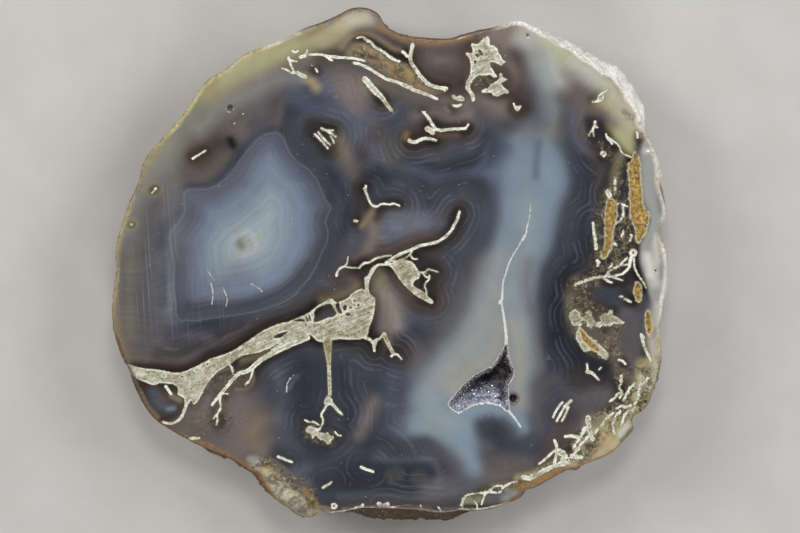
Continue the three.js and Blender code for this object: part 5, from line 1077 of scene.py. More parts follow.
stone = {
    "edgeColumns": 800,          # points round the polished edge
    "wallRows": 20,              # rows of faces down the rind
    "fineSpacing": 0.24,         # mm between the mesh's points beside a filament
    "middleSpacing": 0.38,
    "wideSpacing": 0.46,         # and in the open stone
    "fineDepth": 0.7,            # mm inside and outside a filament's edge
    "fineReach": 0.25,
    "middleReach": 1.1,
    "backSpacing": 2.4,
    "tuck": 2.6,                 # mm that the rind turns in by the time it reaches the back
    "skirtDepth": 2.4,           # mm below the polish where the rind stands out furthest
    "lumps": ((2.1, 8.5), (1.1, 3.4), (0.34, 1.5), (0.16, 0.7)),   # height and spacing, mm
    "lumpSeed": 11,
    "ledge": (0.8, 12.0),        # step left by a lost flake, and its spacing
    "ledgeSeed": 31,
    "ledgeSoftness": 0.08,
    "fineRelief": (0.3, 1.1, 1.5),   # height, spacing, and mm below the polish over which it sets in
    "fineSeed": 41,
    "lumpFade": 5.0,             # mm below the polish over which the lumps set in
    "edgeRound": 0.14,           # mm that the polished edge is worn back
    "ochreDepth": 0.55,          # mm that the ochre fillings are worn back
    "ochreGrain": (0.14, 0.7),   # height and spacing
    "ochreSeed": 5,
    "ochreSlope": (0.05, -0.3),  # mm outside and inside the drawn edge
    "pitSlope": (1, 0.35),       # shares of the radius
    "vugDepth": 9.5,
    "vugCentre": (21.2, -22.9),
    "vugRows": 10,
    "mouthSpacing": 0.22,
    "ochreNear": 0.6,            # an ochre filling's distance counts as this share of itself
    "pitNear": 0.2,              # mm round a pit's edge that are meshed finely
    "inset": 0.6,                # share of the spacing kept free beside the edges
    "clearance": 0.15,           # mm kept free beside the edges by the filaments' own points
    "wallSpread": 1.15,          # powers that crowd the rows of faces towards the polish
    "vugSpread": 1.2,
    "backInset": 1.2,
    "offFace": 60.0,             # grey carried by the points that the polish doesn't show
}
# Ways in which the vug closes in with depth: how far, and the power of the depth
gentlePull, steepPull = (0.93, 0.78), (0.4, 1.6)


def evenRing(corners, count, smooth=0.2):
    # a closed curve through the corners, with points at even distances along it
    path = smoothPath(corners, smooth, True)
    path = np.vstack([path, path[:1]])
    run = travelled(path)
    at = np.linspace(0, run[-1], count, endpoint=False)
    return np.stack([np.interp(at, run, path[:, c]) for c in range(path.shape[1])], -1)


def hexLattice(low, high, spacing):
    # rows of points, each second row half a step along
    rows = np.arange(low[1], high[1], spacing * 0.866)
    columns = np.arange(low[0], high[0], spacing)
    x, y = np.meshgrid(columns, rows)
    x = x + (np.arange(len(rows)) % 2)[:, None] * spacing / 2
    return np.stack([x.ravel(), y.ravel()], -1)


def vugPoints(ring, depth, scale=1.0, lift=0.0):
    # the mouth's outline drawn in towards the deepest place by a power of the depth
    share = np.clip((depth + lift) / stone["vugDepth"], 0, 1)
    steep, gentle = (reach * share**power for reach, power in (steepPull, gentlePull))
    close = steep + (gentle - steep) * np.clip(ring[:, 2], 0, 1)
    reach = ((1 - close) * scale)[:, None]
    return np.array(stone["vugCentre"]) * (1 - reach) + ring[:, :2] * reach


def facePlaces(edge, mouth):
    # lattice points, closer together beside the filaments, inside the edge and outside the vug
    low, high = edge.min(0), edge.max(0)
    kept = []
    levels = [(stone["fineSpacing"], -stone["fineDepth"], stone["fineReach"]),
              (stone["middleSpacing"], stone["fineReach"], stone["middleReach"]),
              (stone["wideSpacing"], stone["middleReach"], 99)]
    for spacing, nearest, furthest in levels:
        spots = hexLattice(low, high, spacing)
        x, y = spots.T
        away = filamentField(x, y)[0]
        away = np.minimum(away, outlineField(x, y, ochres, filamentReach) * stone["ochreNear"])
        away = np.minimum(away, veinField(x, y))
        for pitX, pitY, radius, depth in facePits:
            away = np.minimum(away, np.abs(np.hypot(x - pitX, y - pitY) - radius) - stone["pitNear"])
        wanted = (away > nearest) & (away <= furthest)
        if nearest == stone["fineReach"]:
            wanted |= away <= -stone["fineDepth"]
        spots = spots[wanted]
        inset = spacing * stone["inset"]
        spots = spots[outlineDistance(*spots.T, edge) < -inset]
        kept.append(spots[outlineDistance(*spots.T, mouth) > inset])
    lines = np.vstack([smoothPath(drawn[-1], 0.3) for drawn in strands + cracks])
    clear = (outlineDistance(*lines.T, edge) < -stone["clearance"])
    clear &= outlineDistance(*lines.T, mouth) > stone["clearance"]
    kept.append(lines[clear])
    return np.vstack(kept)


def filledRings(rings, spots):
    # constrained Delaunay triangles over the rings and the spots, with the rings' sides kept
    sides, first = [], 0
    for ring in rings:
        ids = first + np.arange(len(ring))
        sides += zip(ids.tolist(), np.roll(ids, -1).tolist())
        first += len(ring)
    corners = [Vector(p) for p in np.vstack([*rings, spots])]
    places, _, triangles, _, _, _ = delaunay_2d_cdt(corners, sides, [], 1, 1e-6)
    return np.array(places), np.array(triangles)


def facing(places, triangles, up):
    # turns over the triangles that face the wrong way, by the sign of their area
    a, b, c = (places[triangles[:, k]] for k in range(3))
    area = (b[:, 0] - a[:, 0]) * (c[:, 1] - a[:, 1]) - (b[:, 1] - a[:, 1]) * (c[:, 0] - a[:, 0])
    wrong = area < 0 if up else area > 0
    triangles[wrong] = triangles[wrong][:, ::-1]
    return triangles


def faceTriangles(spots, edge, mouth):
    # the polish between its edge and the vug's mouth
    places, triangles = filledRings([edge, mouth], spots)
    middles = places[triangles].mean(1)
    triangles = triangles[outlineDistance(*middles.T, mouth) > 0]
    return places, facing(places, triangles, True)


def faceHeights(x, y, onEdge):
    # the polish, with the ochre fillings and pits worn below it and a narrow rounded edge
    ochre = outlineField(x, y, ochres, filamentReach)
    height, spacing = stone["ochreGrain"]
    grain = height * fractalNoise(x, y, 0 * x, spacing, 3, stone["ochreSeed"])
    sunk = (stone["ochreDepth"] + grain) * smoothStep(*stone["ochreSlope"], ochre)
    for pitX, pitY, radius, depth in facePits:
        away = np.hypot(x - pitX, y - pitY) / radius
        sunk = np.maximum(sunk, depth * smoothStep(*stone["pitSlope"], away))
    return thickness - sunk - stone["edgeRound"] * onEdge, ochre


def rindRing(edge, outward, skirt, share):
    # the edge pushed outwards: skirt, less the tuck, plus lumps and knobs, less the ledges
    depth = share * thickness
    x, y = edge.T
    z = np.full(len(x), thickness - depth)
    relief = sum(height * noiseHeights(x / spacing, y / spacing, z / spacing, stone["lumpSeed"] + k)
                 for k, (height, spacing) in enumerate(stone["lumps"]))
    step, spacing = stone["ledge"]
    flakes = noiseHeights(x / spacing, y / spacing, z / spacing, stone["ledgeSeed"])
    relief = relief - step * smoothStep(-stone["ledgeSoftness"], stone["ledgeSoftness"], flakes)
    out = skirt * smoothStep(0, stone["skirtDepth"], depth) - stone["tuck"] * share**2
    out = out + relief * smoothStep(0, stone["lumpFade"], depth)
    height, spacing, setIn = stone["fineRelief"]
    fine = height * fractalNoise(x, y, z, spacing, 3, stone["fineSeed"]) * smoothStep(0, setIn, depth)
    out = np.minimum(out, skirt) + fine * (share < 1)
    return np.column_stack([edge + outward * out[:, None], z])


def ringBands(first, second, upward=False):
    # two triangles between each pair of neighbours on two rings of equal count
    a, b = first, np.roll(first, -1)
    c, d = second, np.roll(second, -1)
    faces = np.vstack([np.column_stack([a, b, c]), np.column_stack([b, d, c])])
    return faces[:, ::-1] if upward else faces


def toFrame(points):
    # drawn millimetres to the part's metres
    moved = np.array(points, float)
    moved[:, :2] = moved[:, :2] * drawing["scale"] + drawing["shift"]
    return moved / 1000


def linearLight(tone):
    # display red, green and blue, 0 to 255, as linear light
    light = np.clip(tone, 0, 255) / 255
    return np.where(light <= 0.04045, light / 12.92, ((light + 0.055) / 1.055)**2.4)


def meshPiece(name, points, triangles, materials, slots=None, numbers=None, colours=None, smooth=True):
    # one object from arrays, with its per-point attributes
    mesh = bpy.data.meshes.new(name)
    mesh.vertices.add(len(points))
    mesh.vertices.foreach_set("co", toFrame(points).ravel())
    mesh.loops.add(3 * len(triangles))
    mesh.loops.foreach_set("vertex_index", triangles.ravel())
    mesh.polygons.add(len(triangles))
    mesh.polygons.foreach_set("loop_start", 3 * np.arange(len(triangles)))
    mesh.polygons.foreach_set("use_smooth", np.full(len(triangles), smooth))
    for material in materials:
        mesh.materials.append(material)
    if slots is not None:
        mesh.polygons.foreach_set("material_index", slots)
    for key, values in (numbers or {}).items():
        mesh.attributes.new(key, "FLOAT", "POINT").data.foreach_set("value", values.astype(np.float32))
    for key, values in (colours or {}).items():
        rgba = np.column_stack([linearLight(values), np.ones(len(values))])
        mesh.attributes.new(key, "FLOAT_COLOR", "POINT").data.foreach_set("color", rgba.ravel())
    mesh.update(calc_edges=True)
    mesh.validate()
    piece = bpy.data.objects.new(name, mesh)
    bpy.context.scene.collection.objects.link(piece)
    return piece


def joinRing(points, triangles, last, ring, upward=False):
    # adds a ring of points and the faces between it and the one before
    ids = sum(map(len, points)) + np.arange(len(ring))
    points.append(ring)
    triangles.append(ringBands(last, ids, upward))
    return ids


def stoneFields(x, y, edge, ochre):
    # the face's values for the shader, each with the value that it has off the face
    filament, olive = filamentField(x, y)
    olive = np.maximum(olive, paintedShare(x, y, 0.0, oliveStains))
    fields = {
        "growth": (growthField(x, y), 0), "chamber": (chamberDepth(x, y), -9), "filament": (filament, 2),
        "olive": (olive, 0), "ochre": (ochre, 2), "vein": (veinField(x, y), 2),
        "inward": (-outlineDistance(x, y, edge[::3]), 0),
    }
    shares = {"moss": (0.0, mossAreas), "hatch": (0.0, hatchAreas), "banded": (bandStart, bandAreas)}
    for name, (start, areas) in shares.items():
        fields[name] = (paintedShare(x, y, start, areas), 0)
    return fields


def buildStone(materials):
    ring = evenRing(polishedEdge, stone["edgeColumns"])
    edge, skirt = ring[:, :2], np.maximum(ring[:, 2], 0)
    along = np.roll(edge, -1, 0) - np.roll(edge, 1, 0)
    outward = np.column_stack([-along[:, 1], along[:, 0]]) / np.hypot(*along.T)[:, None]
    mouthCount = int(travelled(smoothPath(vugEdge, 0.2, True))[-1] / stone["mouthSpacing"])
    mouthRing = evenRing(vugEdge, mouthCount)
    mouth = mouthRing[:, :2]

    # the polish
    places, faces = faceTriangles(facePlaces(edge, mouth), edge, mouth)
    x, y = places.T
    onEdge = (np.arange(len(x)) < len(edge) + len(mouth)).astype(float)
    heights, ochre = faceHeights(x, y, onEdge)
    points, triangles, slots = [np.column_stack([places, heights])], [faces], [0]
    print("polish", len(places), "points")

    # the rind, then the sawn back
    last = np.arange(len(edge))
    for row in range(1, stone["wallRows"] + 1):
        share = (row / stone["wallRows"])**stone["wallSpread"]
        last = joinRing(points, triangles, last, rindRing(edge, outward, skirt, share))
        slots.append(1)
    low = points[-1][:, :2]
    inner = hexLattice(low.min(0), low.max(0), stone["backSpacing"])
    inner = inner[outlineDistance(*inner.T, low[::4]) < -stone["backInset"]]
    backPlaces, backFaces = filledRings([low], inner)
    inner = backPlaces[len(low):]
    ids = np.concatenate([last, sum(map(len, points)) + np.arange(len(inner))])
    points.append(np.column_stack([inner, np.zeros(len(inner))]))
    triangles.append(ids[facing(backPlaces, backFaces, False)])
    slots.append(2)

    # the hollow, closed by a fan at its deepest place
    last = len(edge) + np.arange(len(mouth))
    for row in range(1, stone["vugRows"] + 1):
        depth = stone["vugDepth"] * (row / stone["vugRows"])**stone["vugSpread"]
        around = vugPoints(mouthRing, depth)
        around = np.column_stack([around, np.full(len(around), thickness - depth)])
        last = joinRing(points, triangles, last, around, True)
        slots.append(1)
    hub = np.full(len(last), sum(map(len, points)))
    points.append(np.array([[*stone["vugCentre"], thickness - stone["vugDepth"]]]))
    triangles.append(np.column_stack([last, hub, np.roll(last, -1)]))
    slots.append(1)
    slots = np.repeat(slots, [len(part) for part in triangles])
    points, triangles = np.vstack(points), np.vstack(triangles)

    # values and tones at every point
    rest = len(points) - len(places)
    fields = stoneFields(x, y, edge, ochre)
    tone = paintedTone(x, y, fields["growth"][0], fields["chamber"][0])
    numbers = {name: np.append(values, np.full(rest, fill)) for name, (values, fill) in fields.items()}
    tone = np.vstack([tone, np.full((rest, 3), stone["offFace"])])
    colours = {"tone": tone, "rind": paintedRind(*points.T)}
    print("pattern painted with", len(zones), "zones and", len(strands), "filaments")
    piece = meshPiece("agateStone", points, triangles, materials, slots, numbers, colours)
    print("stone", len(points), "points", len(triangles), "triangles")
    return piece


rindSway = (2.4, 7.0)    # mm that the rind's zones wander, and the spacing of the wander


def paintedRind(x, y, z):
    # earthy brown, with the listed zones' tones laid over it by direction round the edge
    colour = np.tile(np.array(rindTones["earth"], float), (len(x), 1))
    reach, spacing = rindSway
    sway = reach * fractalNoise(x, y, z, spacing, 4, 71)
    turn = reach * fractalNoise(y, z, x, spacing, 4, 72)
    for tone, strength, width, softness, points in rindZones:
        rows, weight = areaWeight(x + sway, y + turn, width, softness, points)
        colour[rows] += (np.array(rindTones[tone], float) - colour[rows]) * (strength * weight)[:, None]
    return colour


crust = {
    "columns": 150, "rows": 34,
    "scale": 0.995,              # share of the stone's hollow that the crust fills
    "topDepth": 0.05,            # mm below the polish
    "floorLift": 1.3,            # mm that the crust lies above the hollow's floor
    "skin": 0.25,
    "rowSpread": 0.9,            # power that spreads the rows down the wall
    "floorFill": (0.8, 0.75),    # where the floor begins to close, and how far it closes
    "lumps": ((0.30, 1.8), (0.14, 0.8)),
    "lumpSeed": 61,
    "lumpFade": 0.15,
    "crystals": 3000,
    "width": (0.16, 0.46),
    "length": (0.22, 0.62),
    "lean": 0.42,
    "rise": 0.25,                # how much more the crystals stand up than out
    "foot": 0.12,                # mm that they are rooted in the crust
    "smallness": 2.2,            # power that makes small crystals commoner
    "shoulder": 0.55,            # share of a crystal's length where its point begins
    "slant": 0.07,
    "tip": (0.04, 0.02, 1.0),
    "seed": 7,
}


def crustGrid():
    # the hollow's wall as rings from the mouth down, drawn in a little and lifted off the floor
    ring = evenRing(vugEdge, crust["columns"])
    floor = stone["vugDepth"] - crust["floorLift"]
    rings = []
    for row in range(crust["rows"]):
        share = row / (crust["rows"] - 1)
        depth = crust["topDepth"] + (floor - crust["topDepth"]) * share**crust["rowSpread"]
        around = vugPoints(ring, depth, crust["scale"], crust["floorLift"] * share)
        fill = 1 - smoothStep(crust["floorFill"][0], 1.0, share) * crust["floorFill"][1]
        around = np.array(stone["vugCentre"]) * (1 - fill) + around * fill
        rings.append(np.column_stack([around, np.full(len(around), thickness - depth)]))
    return np.array(rings)


def gridNormals(grid):
    # cross product of the ways round and down, turned into the hollow
    around = np.roll(grid, -1, 1) - np.roll(grid, 1, 1)
    down = np.gradient(grid, axis=0)
    normal = np.cross(down, around)
    normal /= np.maximum(np.linalg.norm(normal, axis=2, keepdims=True), 1e-9)
    middle = np.array([*stone["vugCentre"], thickness])
    inward = np.sign(((middle - grid) * normal).sum(2, keepdims=True).mean())
    return normal * inward


def crystalShape():
    # a six-sided prism with a six-sided point, one unit across and one unit long
    turn = np.arange(6) * np.pi / 3
    base = np.column_stack([np.cos(turn) / 2, np.sin(turn) / 2, np.zeros(6)])
    height = crust["shoulder"] + crust["slant"] * np.cos(3 * turn)
    shoulder = base + np.column_stack([np.zeros((6, 2)), height])
    points = np.vstack([base, shoulder, [crust["tip"]]])
    k, n = np.arange(6), (np.arange(6) + 1) % 6
    sides = np.vstack([np.column_stack([k, n, n + 6]), np.column_stack([k, n + 6, k + 6])])
    tips = np.column_stack([k + 6, n + 6, np.full(6, 12)])
    bottom = np.array([[0, 2, 1], [0, 3, 2], [0, 4, 3], [0, 5, 4]])
    return points, np.vstack([sides, tips, bottom])


def buildCrust(material):
    grid = crustGrid()
    normals = gridNormals(grid)
    relief = 0
    for k, (height, spacing) in enumerate(crust["lumps"]):
        relief = relief + height * noiseHeights(*np.moveaxis(grid, -1, 0) / spacing, crust["lumpSeed"] + k)
    keep = np.linspace(0, 1, crust["rows"])[:, None]
    relief = relief * smoothStep(0, crust["lumpFade"], keep)
    grid = grid + normals * relief[..., None]
    rows, columns = grid.shape[:2]
    outer = grid - normals * crust["skin"]
    centre = np.array(stone["vugCentre"])
    floor = grid[-1, :, 2].mean()
    hubs = np.array([[*centre, floor], [*centre, floor - crust["skin"]]])
    points = np.vstack([grid.reshape(-1, 3), outer.reshape(-1, 3), hubs])
    ids = np.arange(rows * columns).reshape(rows, columns)
    triangles = [ringBands(ids[k], ids[k + 1], True) for k in range(rows - 1)]
    triangles += [ringBands(ids[k] + ids.size, ids[k + 1] + ids.size) for k in range(rows - 1)]
    triangles.append(ringBands(ids[0], ids[0] + ids.size))
    hub = 2 * ids.size
    lastRing = ids[-1]
    triangles.append(np.column_stack([lastRing, np.full(columns, hub), np.roll(lastRing, -1)]))
    outerRing = lastRing + ids.size
    triangles.append(np.column_stack([outerRing, np.roll(outerRing, -1), np.full(columns, hub + 1)]))
    random = np.random.default_rng(crust["seed"])
    # crystals stand where a random share of the crust's area falls
    cell = np.linalg.norm(np.cross(np.roll(grid, -1, 1) - grid, np.gradient(grid, axis=0)), axis=2)
    chance = (cell / cell.sum()).ravel()
    chosen = random.choice(len(chance), crust["crystals"], p=chance)
    row, column = np.divmod(chosen, columns)
    up, side = random.random((2, crust["crystals"], 1))
    below = np.minimum(row + 1, rows - 1)
    beside = (column + 1) % columns
    foot = ((grid[row, column] * (1 - side) + grid[row, beside] * side) * (1 - up)
            + (grid[below, column] * (1 - side) + grid[below, beside] * side) * up)
    way = normals[row, column] + crust["lean"] * random.normal(size=foot.shape)
    way[:, 2] += crust["rise"]
    way /= np.linalg.norm(way, axis=1, keepdims=True)
    flat = np.cross(way, random.normal(size=way.shape))
    flat /= np.linalg.norm(flat, axis=1, keepdims=True)
    third = np.cross(way, flat)
    big = random.random(crust["crystals"])**crust["smallness"]
    big = big[:, None, None]
    width, length = (low + (high - low) * big for low, high in (crust["width"], crust["length"]))
    shape, shapeFaces = crystalShape()
    spread = (shape[None, :, :1] * flat[:, None] + shape[None, :, 1:2] * third[:, None]) * width
    rise = shape[None, :, 2:] * way[:, None] * length
    crystals = foot[:, None] - crust["foot"] * way[:, None] + spread + rise
    count = len(points)
    offsets = count + len(shape) * np.arange(crust["crystals"])
    triangles.append((shapeFaces[None] + offsets[:, None, None]).reshape(-1, 3))
    points = np.vstack([points, crystals.reshape(-1, 3)])
    triangles = np.vstack(triangles)
    # pale where the floor climbs to the lower edge: its own lilac and painted light on the slope that faces
    # the lamps
    paleLit = paintedShare(points[:, 0], points[:, 1], 0.0, paleLitFloor)
    piece = meshPiece("vugDruse", points, triangles, [material], numbers={"paleLit": paleLit}, smooth=False)
    print("druse", len(points), "points", len(triangles), "triangles")
    return piece


# Shader building blocks
def addNode(tree, kind, settings=None, values=None):
    made = tree.nodes.new(kind)
    for key, value in (settings or {}).items():
        setattr(made, key, value)
    for key, value in (values or {}).items():
        if isinstance(value, bpy.types.NodeSocket):
            tree.links.new(value, made.inputs[key])
        else:
            made.inputs[key].default_value = value
    return made


def calc(tree, operation, first, second=0.0, third=0.0, clamp=False):
    values = {0: first, 1: second, 2: third}
    return addNode(tree, "ShaderNodeMath", {"operation": operation, "use_clamp": clamp}, values).outputs[0]


def swung(tree, value, strength, base):
    # base, and strength times what value is above a half
    return calc(tree, "MULTIPLY_ADD", calc(tree, "SUBTRACT", value, 0.5), strength, base)


def blend(tree, share, below, above):
    return addNode(tree, "ShaderNodeMix", None, {0: share, 2: below, 3: above}).outputs[0]


def fade(tree, value, low, high, outLow=0.0, outHigh=1.0, soft=True):
    # map range, eased unless told otherwise
    kind = {"interpolation_type": "SMOOTHSTEP" if soft else "LINEAR"}
    values = {0: value, 1: low, 2: high, 3: outLow, 4: outHigh}
    return addNode(tree, "ShaderNodeMapRange", kind, values).outputs[0]


def attribute(tree, name, output="Fac"):
    return addNode(tree, "ShaderNodeAttribute", {"attribute_name": name}).outputs[output]


def noise(tree, vector, scale, detail=3.0, rough=0.55, distortion=0.0, output="Fac"):
    values = {"Vector": vector, "Scale": scale, "Detail": detail, "Roughness": rough}
    values["Distortion"] = distortion
    return addNode(tree, "ShaderNodeTexNoise", None, values).outputs[output]


def lineNoise(tree, along, scale, detail=3.0, rough=0.6):
    values = {"W": along, "Scale": scale, "Detail": detail, "Roughness": rough}
    return addNode(tree, "ShaderNodeTexNoise", {"noise_dimensions": "1D"}, values).outputs["Fac"]


def mixTone(tree, share, below, above, mode="MIX"):
    settings = {"data_type": "RGBA", "blend_type": mode, "clamp_factor": True}
    return addNode(tree, "ShaderNodeMix", settings, {0: share, 6: below, 7: above}).outputs[2]


def gradient(tree, value, stops):
    # colour ramp through display tones
    made = addNode(tree, "ShaderNodeValToRGB", None, {0: value})
    while len(made.color_ramp.elements) < len(stops):
        made.color_ramp.elements.new(0.5)
    for element, (place, tone) in zip(made.color_ramp.elements, stops):
        element.position = place
        element.color = displayTone(tone)
    return made.outputs[0]


def displayTone(tone):
    return (*linearLight(tone), 1.0)


def laid(tree, share, below, tone, mode="MIX"):
    # a display tone over a colour
    return mixTone(tree, share, below, displayTone(tone), mode)


def spotted(tree, place, scale):
    values = {"Vector": place, "Scale": scale}
    return addNode(tree, "ShaderNodeTexVoronoi", None, values).outputs["Distance"]


def stretched(tree, vector, turn, size):
    # turned by so many degrees, then measured in sizes given in metres
    values = {"Vector": vector, "Rotation": (0, 0, np.radians(turn)), "Scale": size}
    return addNode(tree, "ShaderNodeMapping", {"vector_type": "TEXTURE"}, values).outputs[0]


def newMaterial(name, roughness):
    material = bpy.data.materials.new(name)
    material.use_nodes = True
    tree = material.node_tree
    shader = tree.nodes["Principled BSDF"]
    shader.inputs["Roughness"].default_value = roughness
    place = addNode(tree, "ShaderNodeTexCoord").outputs["Object"]
    return material, tree, shader, place


def bumped(tree, shader, height, strength, distance):
    values = {"Height": height, "Strength": strength, "Distance": distance}
    bump = addNode(tree, "ShaderNodeBump", None, values)
    tree.links.new(bump.outputs[0], shader.inputs["Normal"])


polish = {
    "roughness": 0.11,
    "ior": 1.54,
    "waveBend": 1.7,               # mm that slow noise bends the bands
    "broadBands": (0.8, 0.64),     # per mm of growth, strength
    "fineBands": (4.2, 0.28),
    "bandHue": 0.16,
    "hairLines": (0.9, 0.14),
    "hairTone": (152, 154, 166),
    "chamberLine": (150, 152, 152),
    "slowScale": 150,              # scales of the noises, per metre
    "cloudScale": 210,
    "clumpScale": 360,
    "speckScale": 1250,
    "poreScale": 1500,
    "gritScale": 1500,
    "roughScale": 900,
    "weaveScale": 1100,
    "crustScale": 1300,
    "grainScale": 3200,
    "cloudLight": 0.30,            # how much the clouds and the grain lighten and darken
    "grainLight": 0.12,
    "rubbedTone": (164, 168, 164),
    "rubbedSize": (0.0004, 0.03, 0.03),
    "fringeTone": (100, 90, 64),
    "fibreTurn": 24,               # degrees, the way that the root's fibres run
    "fibreSize": (0.0026, 0.00045, 0.0006),
    "creamTones": [
        (0.32, (122, 116, 92)), (0.42, (160, 157, 134)), (0.5, (190, 190, 171)), (0.6, (229, 230, 219)),
    ],
    "oliveTones": [
        (0.28, (66, 59, 44)), (0.42, (102, 94, 66)), (0.54, (138, 129, 94)), (0.7, (172, 164, 130)),
    ],
    "ochreTones": [
        (0.30, (56, 42, 26)), (0.43, (122, 92, 42)), (0.54, (170, 138, 66)), (0.66, (200, 174, 114)),
        (0.8, (218, 204, 166)),
    ],
    "ochreBorder": (184, 174, 142),
    "lace": 0.55,                  # mm that the filaments' edges wander, and how much more in the moss
    "laceInMoss": 1.7,
    "crustWidth": 1.1,             # mm
    "crustTones": [(0.34, (146, 140, 130)), (0.46, (212, 208, 200)), (0.58, (255, 255, 252))],
    "mossTones": [
        (0.32, (30, 27, 24)), (0.45, (66, 58, 47)), (0.54, (104, 95, 74)), (0.62, (148, 140, 114)),
        (0.72, (196, 191, 170)),
    ],
    "seamTone": (214, 212, 204),
    "dustScale": 620,
    "dustTone": (196, 196, 200),
    "relief": (0.5, 0.0004),       # bump strength and metres
}


def polishedMaterial():
    material, tree, shader, place = newMaterial("polishedAgate", polish["roughness"])
    shader.inputs["IOR"].default_value = polish["ior"]
    tone = attribute(tree, "tone", "Color")
    growth, chamber = attribute(tree, "growth"), attribute(tree, "chamber")
    banded, inward = attribute(tree, "banded"), attribute(tree, "inward")
    filament, olive, vein = (attribute(tree, name) for name in ("filament", "olive", "vein"))
    ochre, moss, hatch = (attribute(tree, name) for name in ("ochre", "moss", "hatch"))
    slow = noise(tree, place, polish["slowScale"], 2.0)
    cloud = noise(tree, place, polish["cloudScale"], 4.0, 0.6, 0.4)
    grain = noise(tree, place, polish["grainScale"], 2.0)

    # bands that follow the growth or the left-hand chamber: broad ones, fine ones, and a drift of hue
    inside = fade(tree, chamber, -0.15, 0.15)
    wave = calc(tree, "MULTIPLY_ADD", slow, polish["waveBend"], blend(tree, inside, growth, chamber))
    broad = calc(tree, "SUBTRACT", lineNoise(tree, wave, polish["broadBands"][0], 3.0, 0.55), 0.5)
    fine = calc(tree, "SUBTRACT", lineNoise(tree, wave, polish["fineBands"][0], 2.0), 0.5)
    hue = calc(tree, "SUBTRACT", lineNoise(tree, calc(tree, "ADD", wave, 40), 0.5, 1.0), 0.5)
    swing = calc(tree, "MULTIPLY", broad, polish["broadBands"][1])
    swing = calc(tree, "MULTIPLY_ADD", fine, polish["fineBands"][1], swing)
    light = calc(tree, "MULTIPLY_ADD", swing, banded, 1.0)
    light = swung(tree, cloud, polish["cloudLight"], light)
    light = swung(tree, grain, polish["grainLight"], light)
    drift = calc(tree, "MULTIPLY", calc(tree, "MULTIPLY", hue, banded), polish["bandHue"])
    tint = {0: calc(tree, "ADD", light, drift), 1: light, 2: calc(tree, "SUBTRACT", light, drift)}
    tint = addNode(tree, "ShaderNodeCombineColor", None, tint).outputs[0]
    colour = mixTone(tree, 1.0, tone, tint, "MULTIPLY")

    # thin pale lines where the banding is strong, here and there
    hair = calc(tree, "SUBTRACT", lineNoise(tree, wave, polish["hairLines"][0], 1.0), 0.5)
    hair = fade(tree, calc(tree, "ABSOLUTE", hair), 0.03, 0.0, 0.0, polish["hairLines"][1])
    broken = calc(tree, "MULTIPLY", fade(tree, cloud, 0.42, 0.6), fade(tree, banded, 0.3, 0.9))
    colour = laid(tree, calc(tree, "MULTIPLY", hair, broken), colour, polish["hairTone"])
    rim = calc(tree, "ABSOLUTE", calc(tree, "MULTIPLY_ADD", cloud, 1.6, calc(tree, "SUBTRACT", chamber, 0.8)))
    colour = laid(tree, fade(tree, rim, 0.3, 0.02, 0.0, 0.15), colour, polish["chamberLine"])

    # fine rubbed lines at the left
    upright = noise(tree, stretched(tree, place, 4, polish["rubbedSize"]), 1.0, 3.0, 0.7)
    rubbed = calc(tree, "MULTIPLY", fade(tree, upright, 0.54, 0.72, 0.0, 0.26), hatch)
    colour = laid(tree, rubbed, colour, polish["rubbedTone"])

    # brown, olive and cream grains in the moss
    speck = noise(tree, place, polish["speckScale"], 4.0, 0.75, 0.7)
    clump = noise(tree, place, polish["clumpScale"], 4.0, 0.65, 0.9)
    mossy = calc(tree, "MULTIPLY", moss, fade(tree, clump, 0.40, 0.56))
    colour = mixTone(tree, mossy, colour, gradient(tree, speck, polish["mossTones"]))

    # a thin olive fringe, then the cream filaments with their fibres, pores and pale borders
    ragged = calc(tree, "SUBTRACT", noise(tree, place, polish["speckScale"], 5.0, 0.78), 0.5)
    lace = calc(tree, "MULTIPLY_ADD", moss, polish["laceInMoss"], polish["lace"])
    wobble = calc(tree, "MULTIPLY_ADD", ragged, lace, filament)
    colour = laid(tree, fade(tree, wobble, 0.36, 0.02, 0.0, 0.4), colour, polish["fringeTone"])
    fibre = noise(tree, stretched(tree, place, polish["fibreTurn"], polish["fibreSize"]), 1.0, 3.0, 0.6, 0.7)
    fibre = blend(tree, 0.55, fibre, noise(tree, place, polish["weaveScale"], 5.0, 0.75))
    lit = calc(tree, "MULTIPLY", fade(tree, filament, -0.5, -0.08), fade(tree, clump, 0.4, 0.58, 0.02, 0.15))
    shade = calc(tree, "ADD", fibre, calc(tree, "SUBTRACT", lit, 0.03))
    pore = fade(tree, noise(tree, place, polish["poreScale"], 3.0, 0.6), 0.40, 0.32, 0.0, 0.34)
    shade = calc(tree, "SUBTRACT", shade, calc(tree, "MULTIPLY", pore, fade(tree, filament, -0.2, -0.5)))
    creamy, stained = (gradient(tree, shade, polish[name]) for name in ("creamTones", "oliveTones"))
    body = fade(tree, wobble, 0.05, -0.05)
    colour = mixTone(tree, body, colour, mixTone(tree, olive, creamy, stained))

    # a grainy crust in the rind's tone along the edge
    crumbs = noise(tree, place, polish["crustScale"], 5.0, 0.8)
    reach = swung(tree, crumbs, 1.8, swung(tree, cloud, 3.0, inward))
    crumbTone = gradient(tree, crumbs, polish["crustTones"])
    crustTone = mixTone(tree, 1.0, attribute(tree, "rind", "Color"), crumbTone, "MULTIPLY")
    crusty = fade(tree, reach, polish["crustWidth"], 0.1, 0.0, 0.85)
    colour = mixTone(tree, crusty, colour, crustTone)

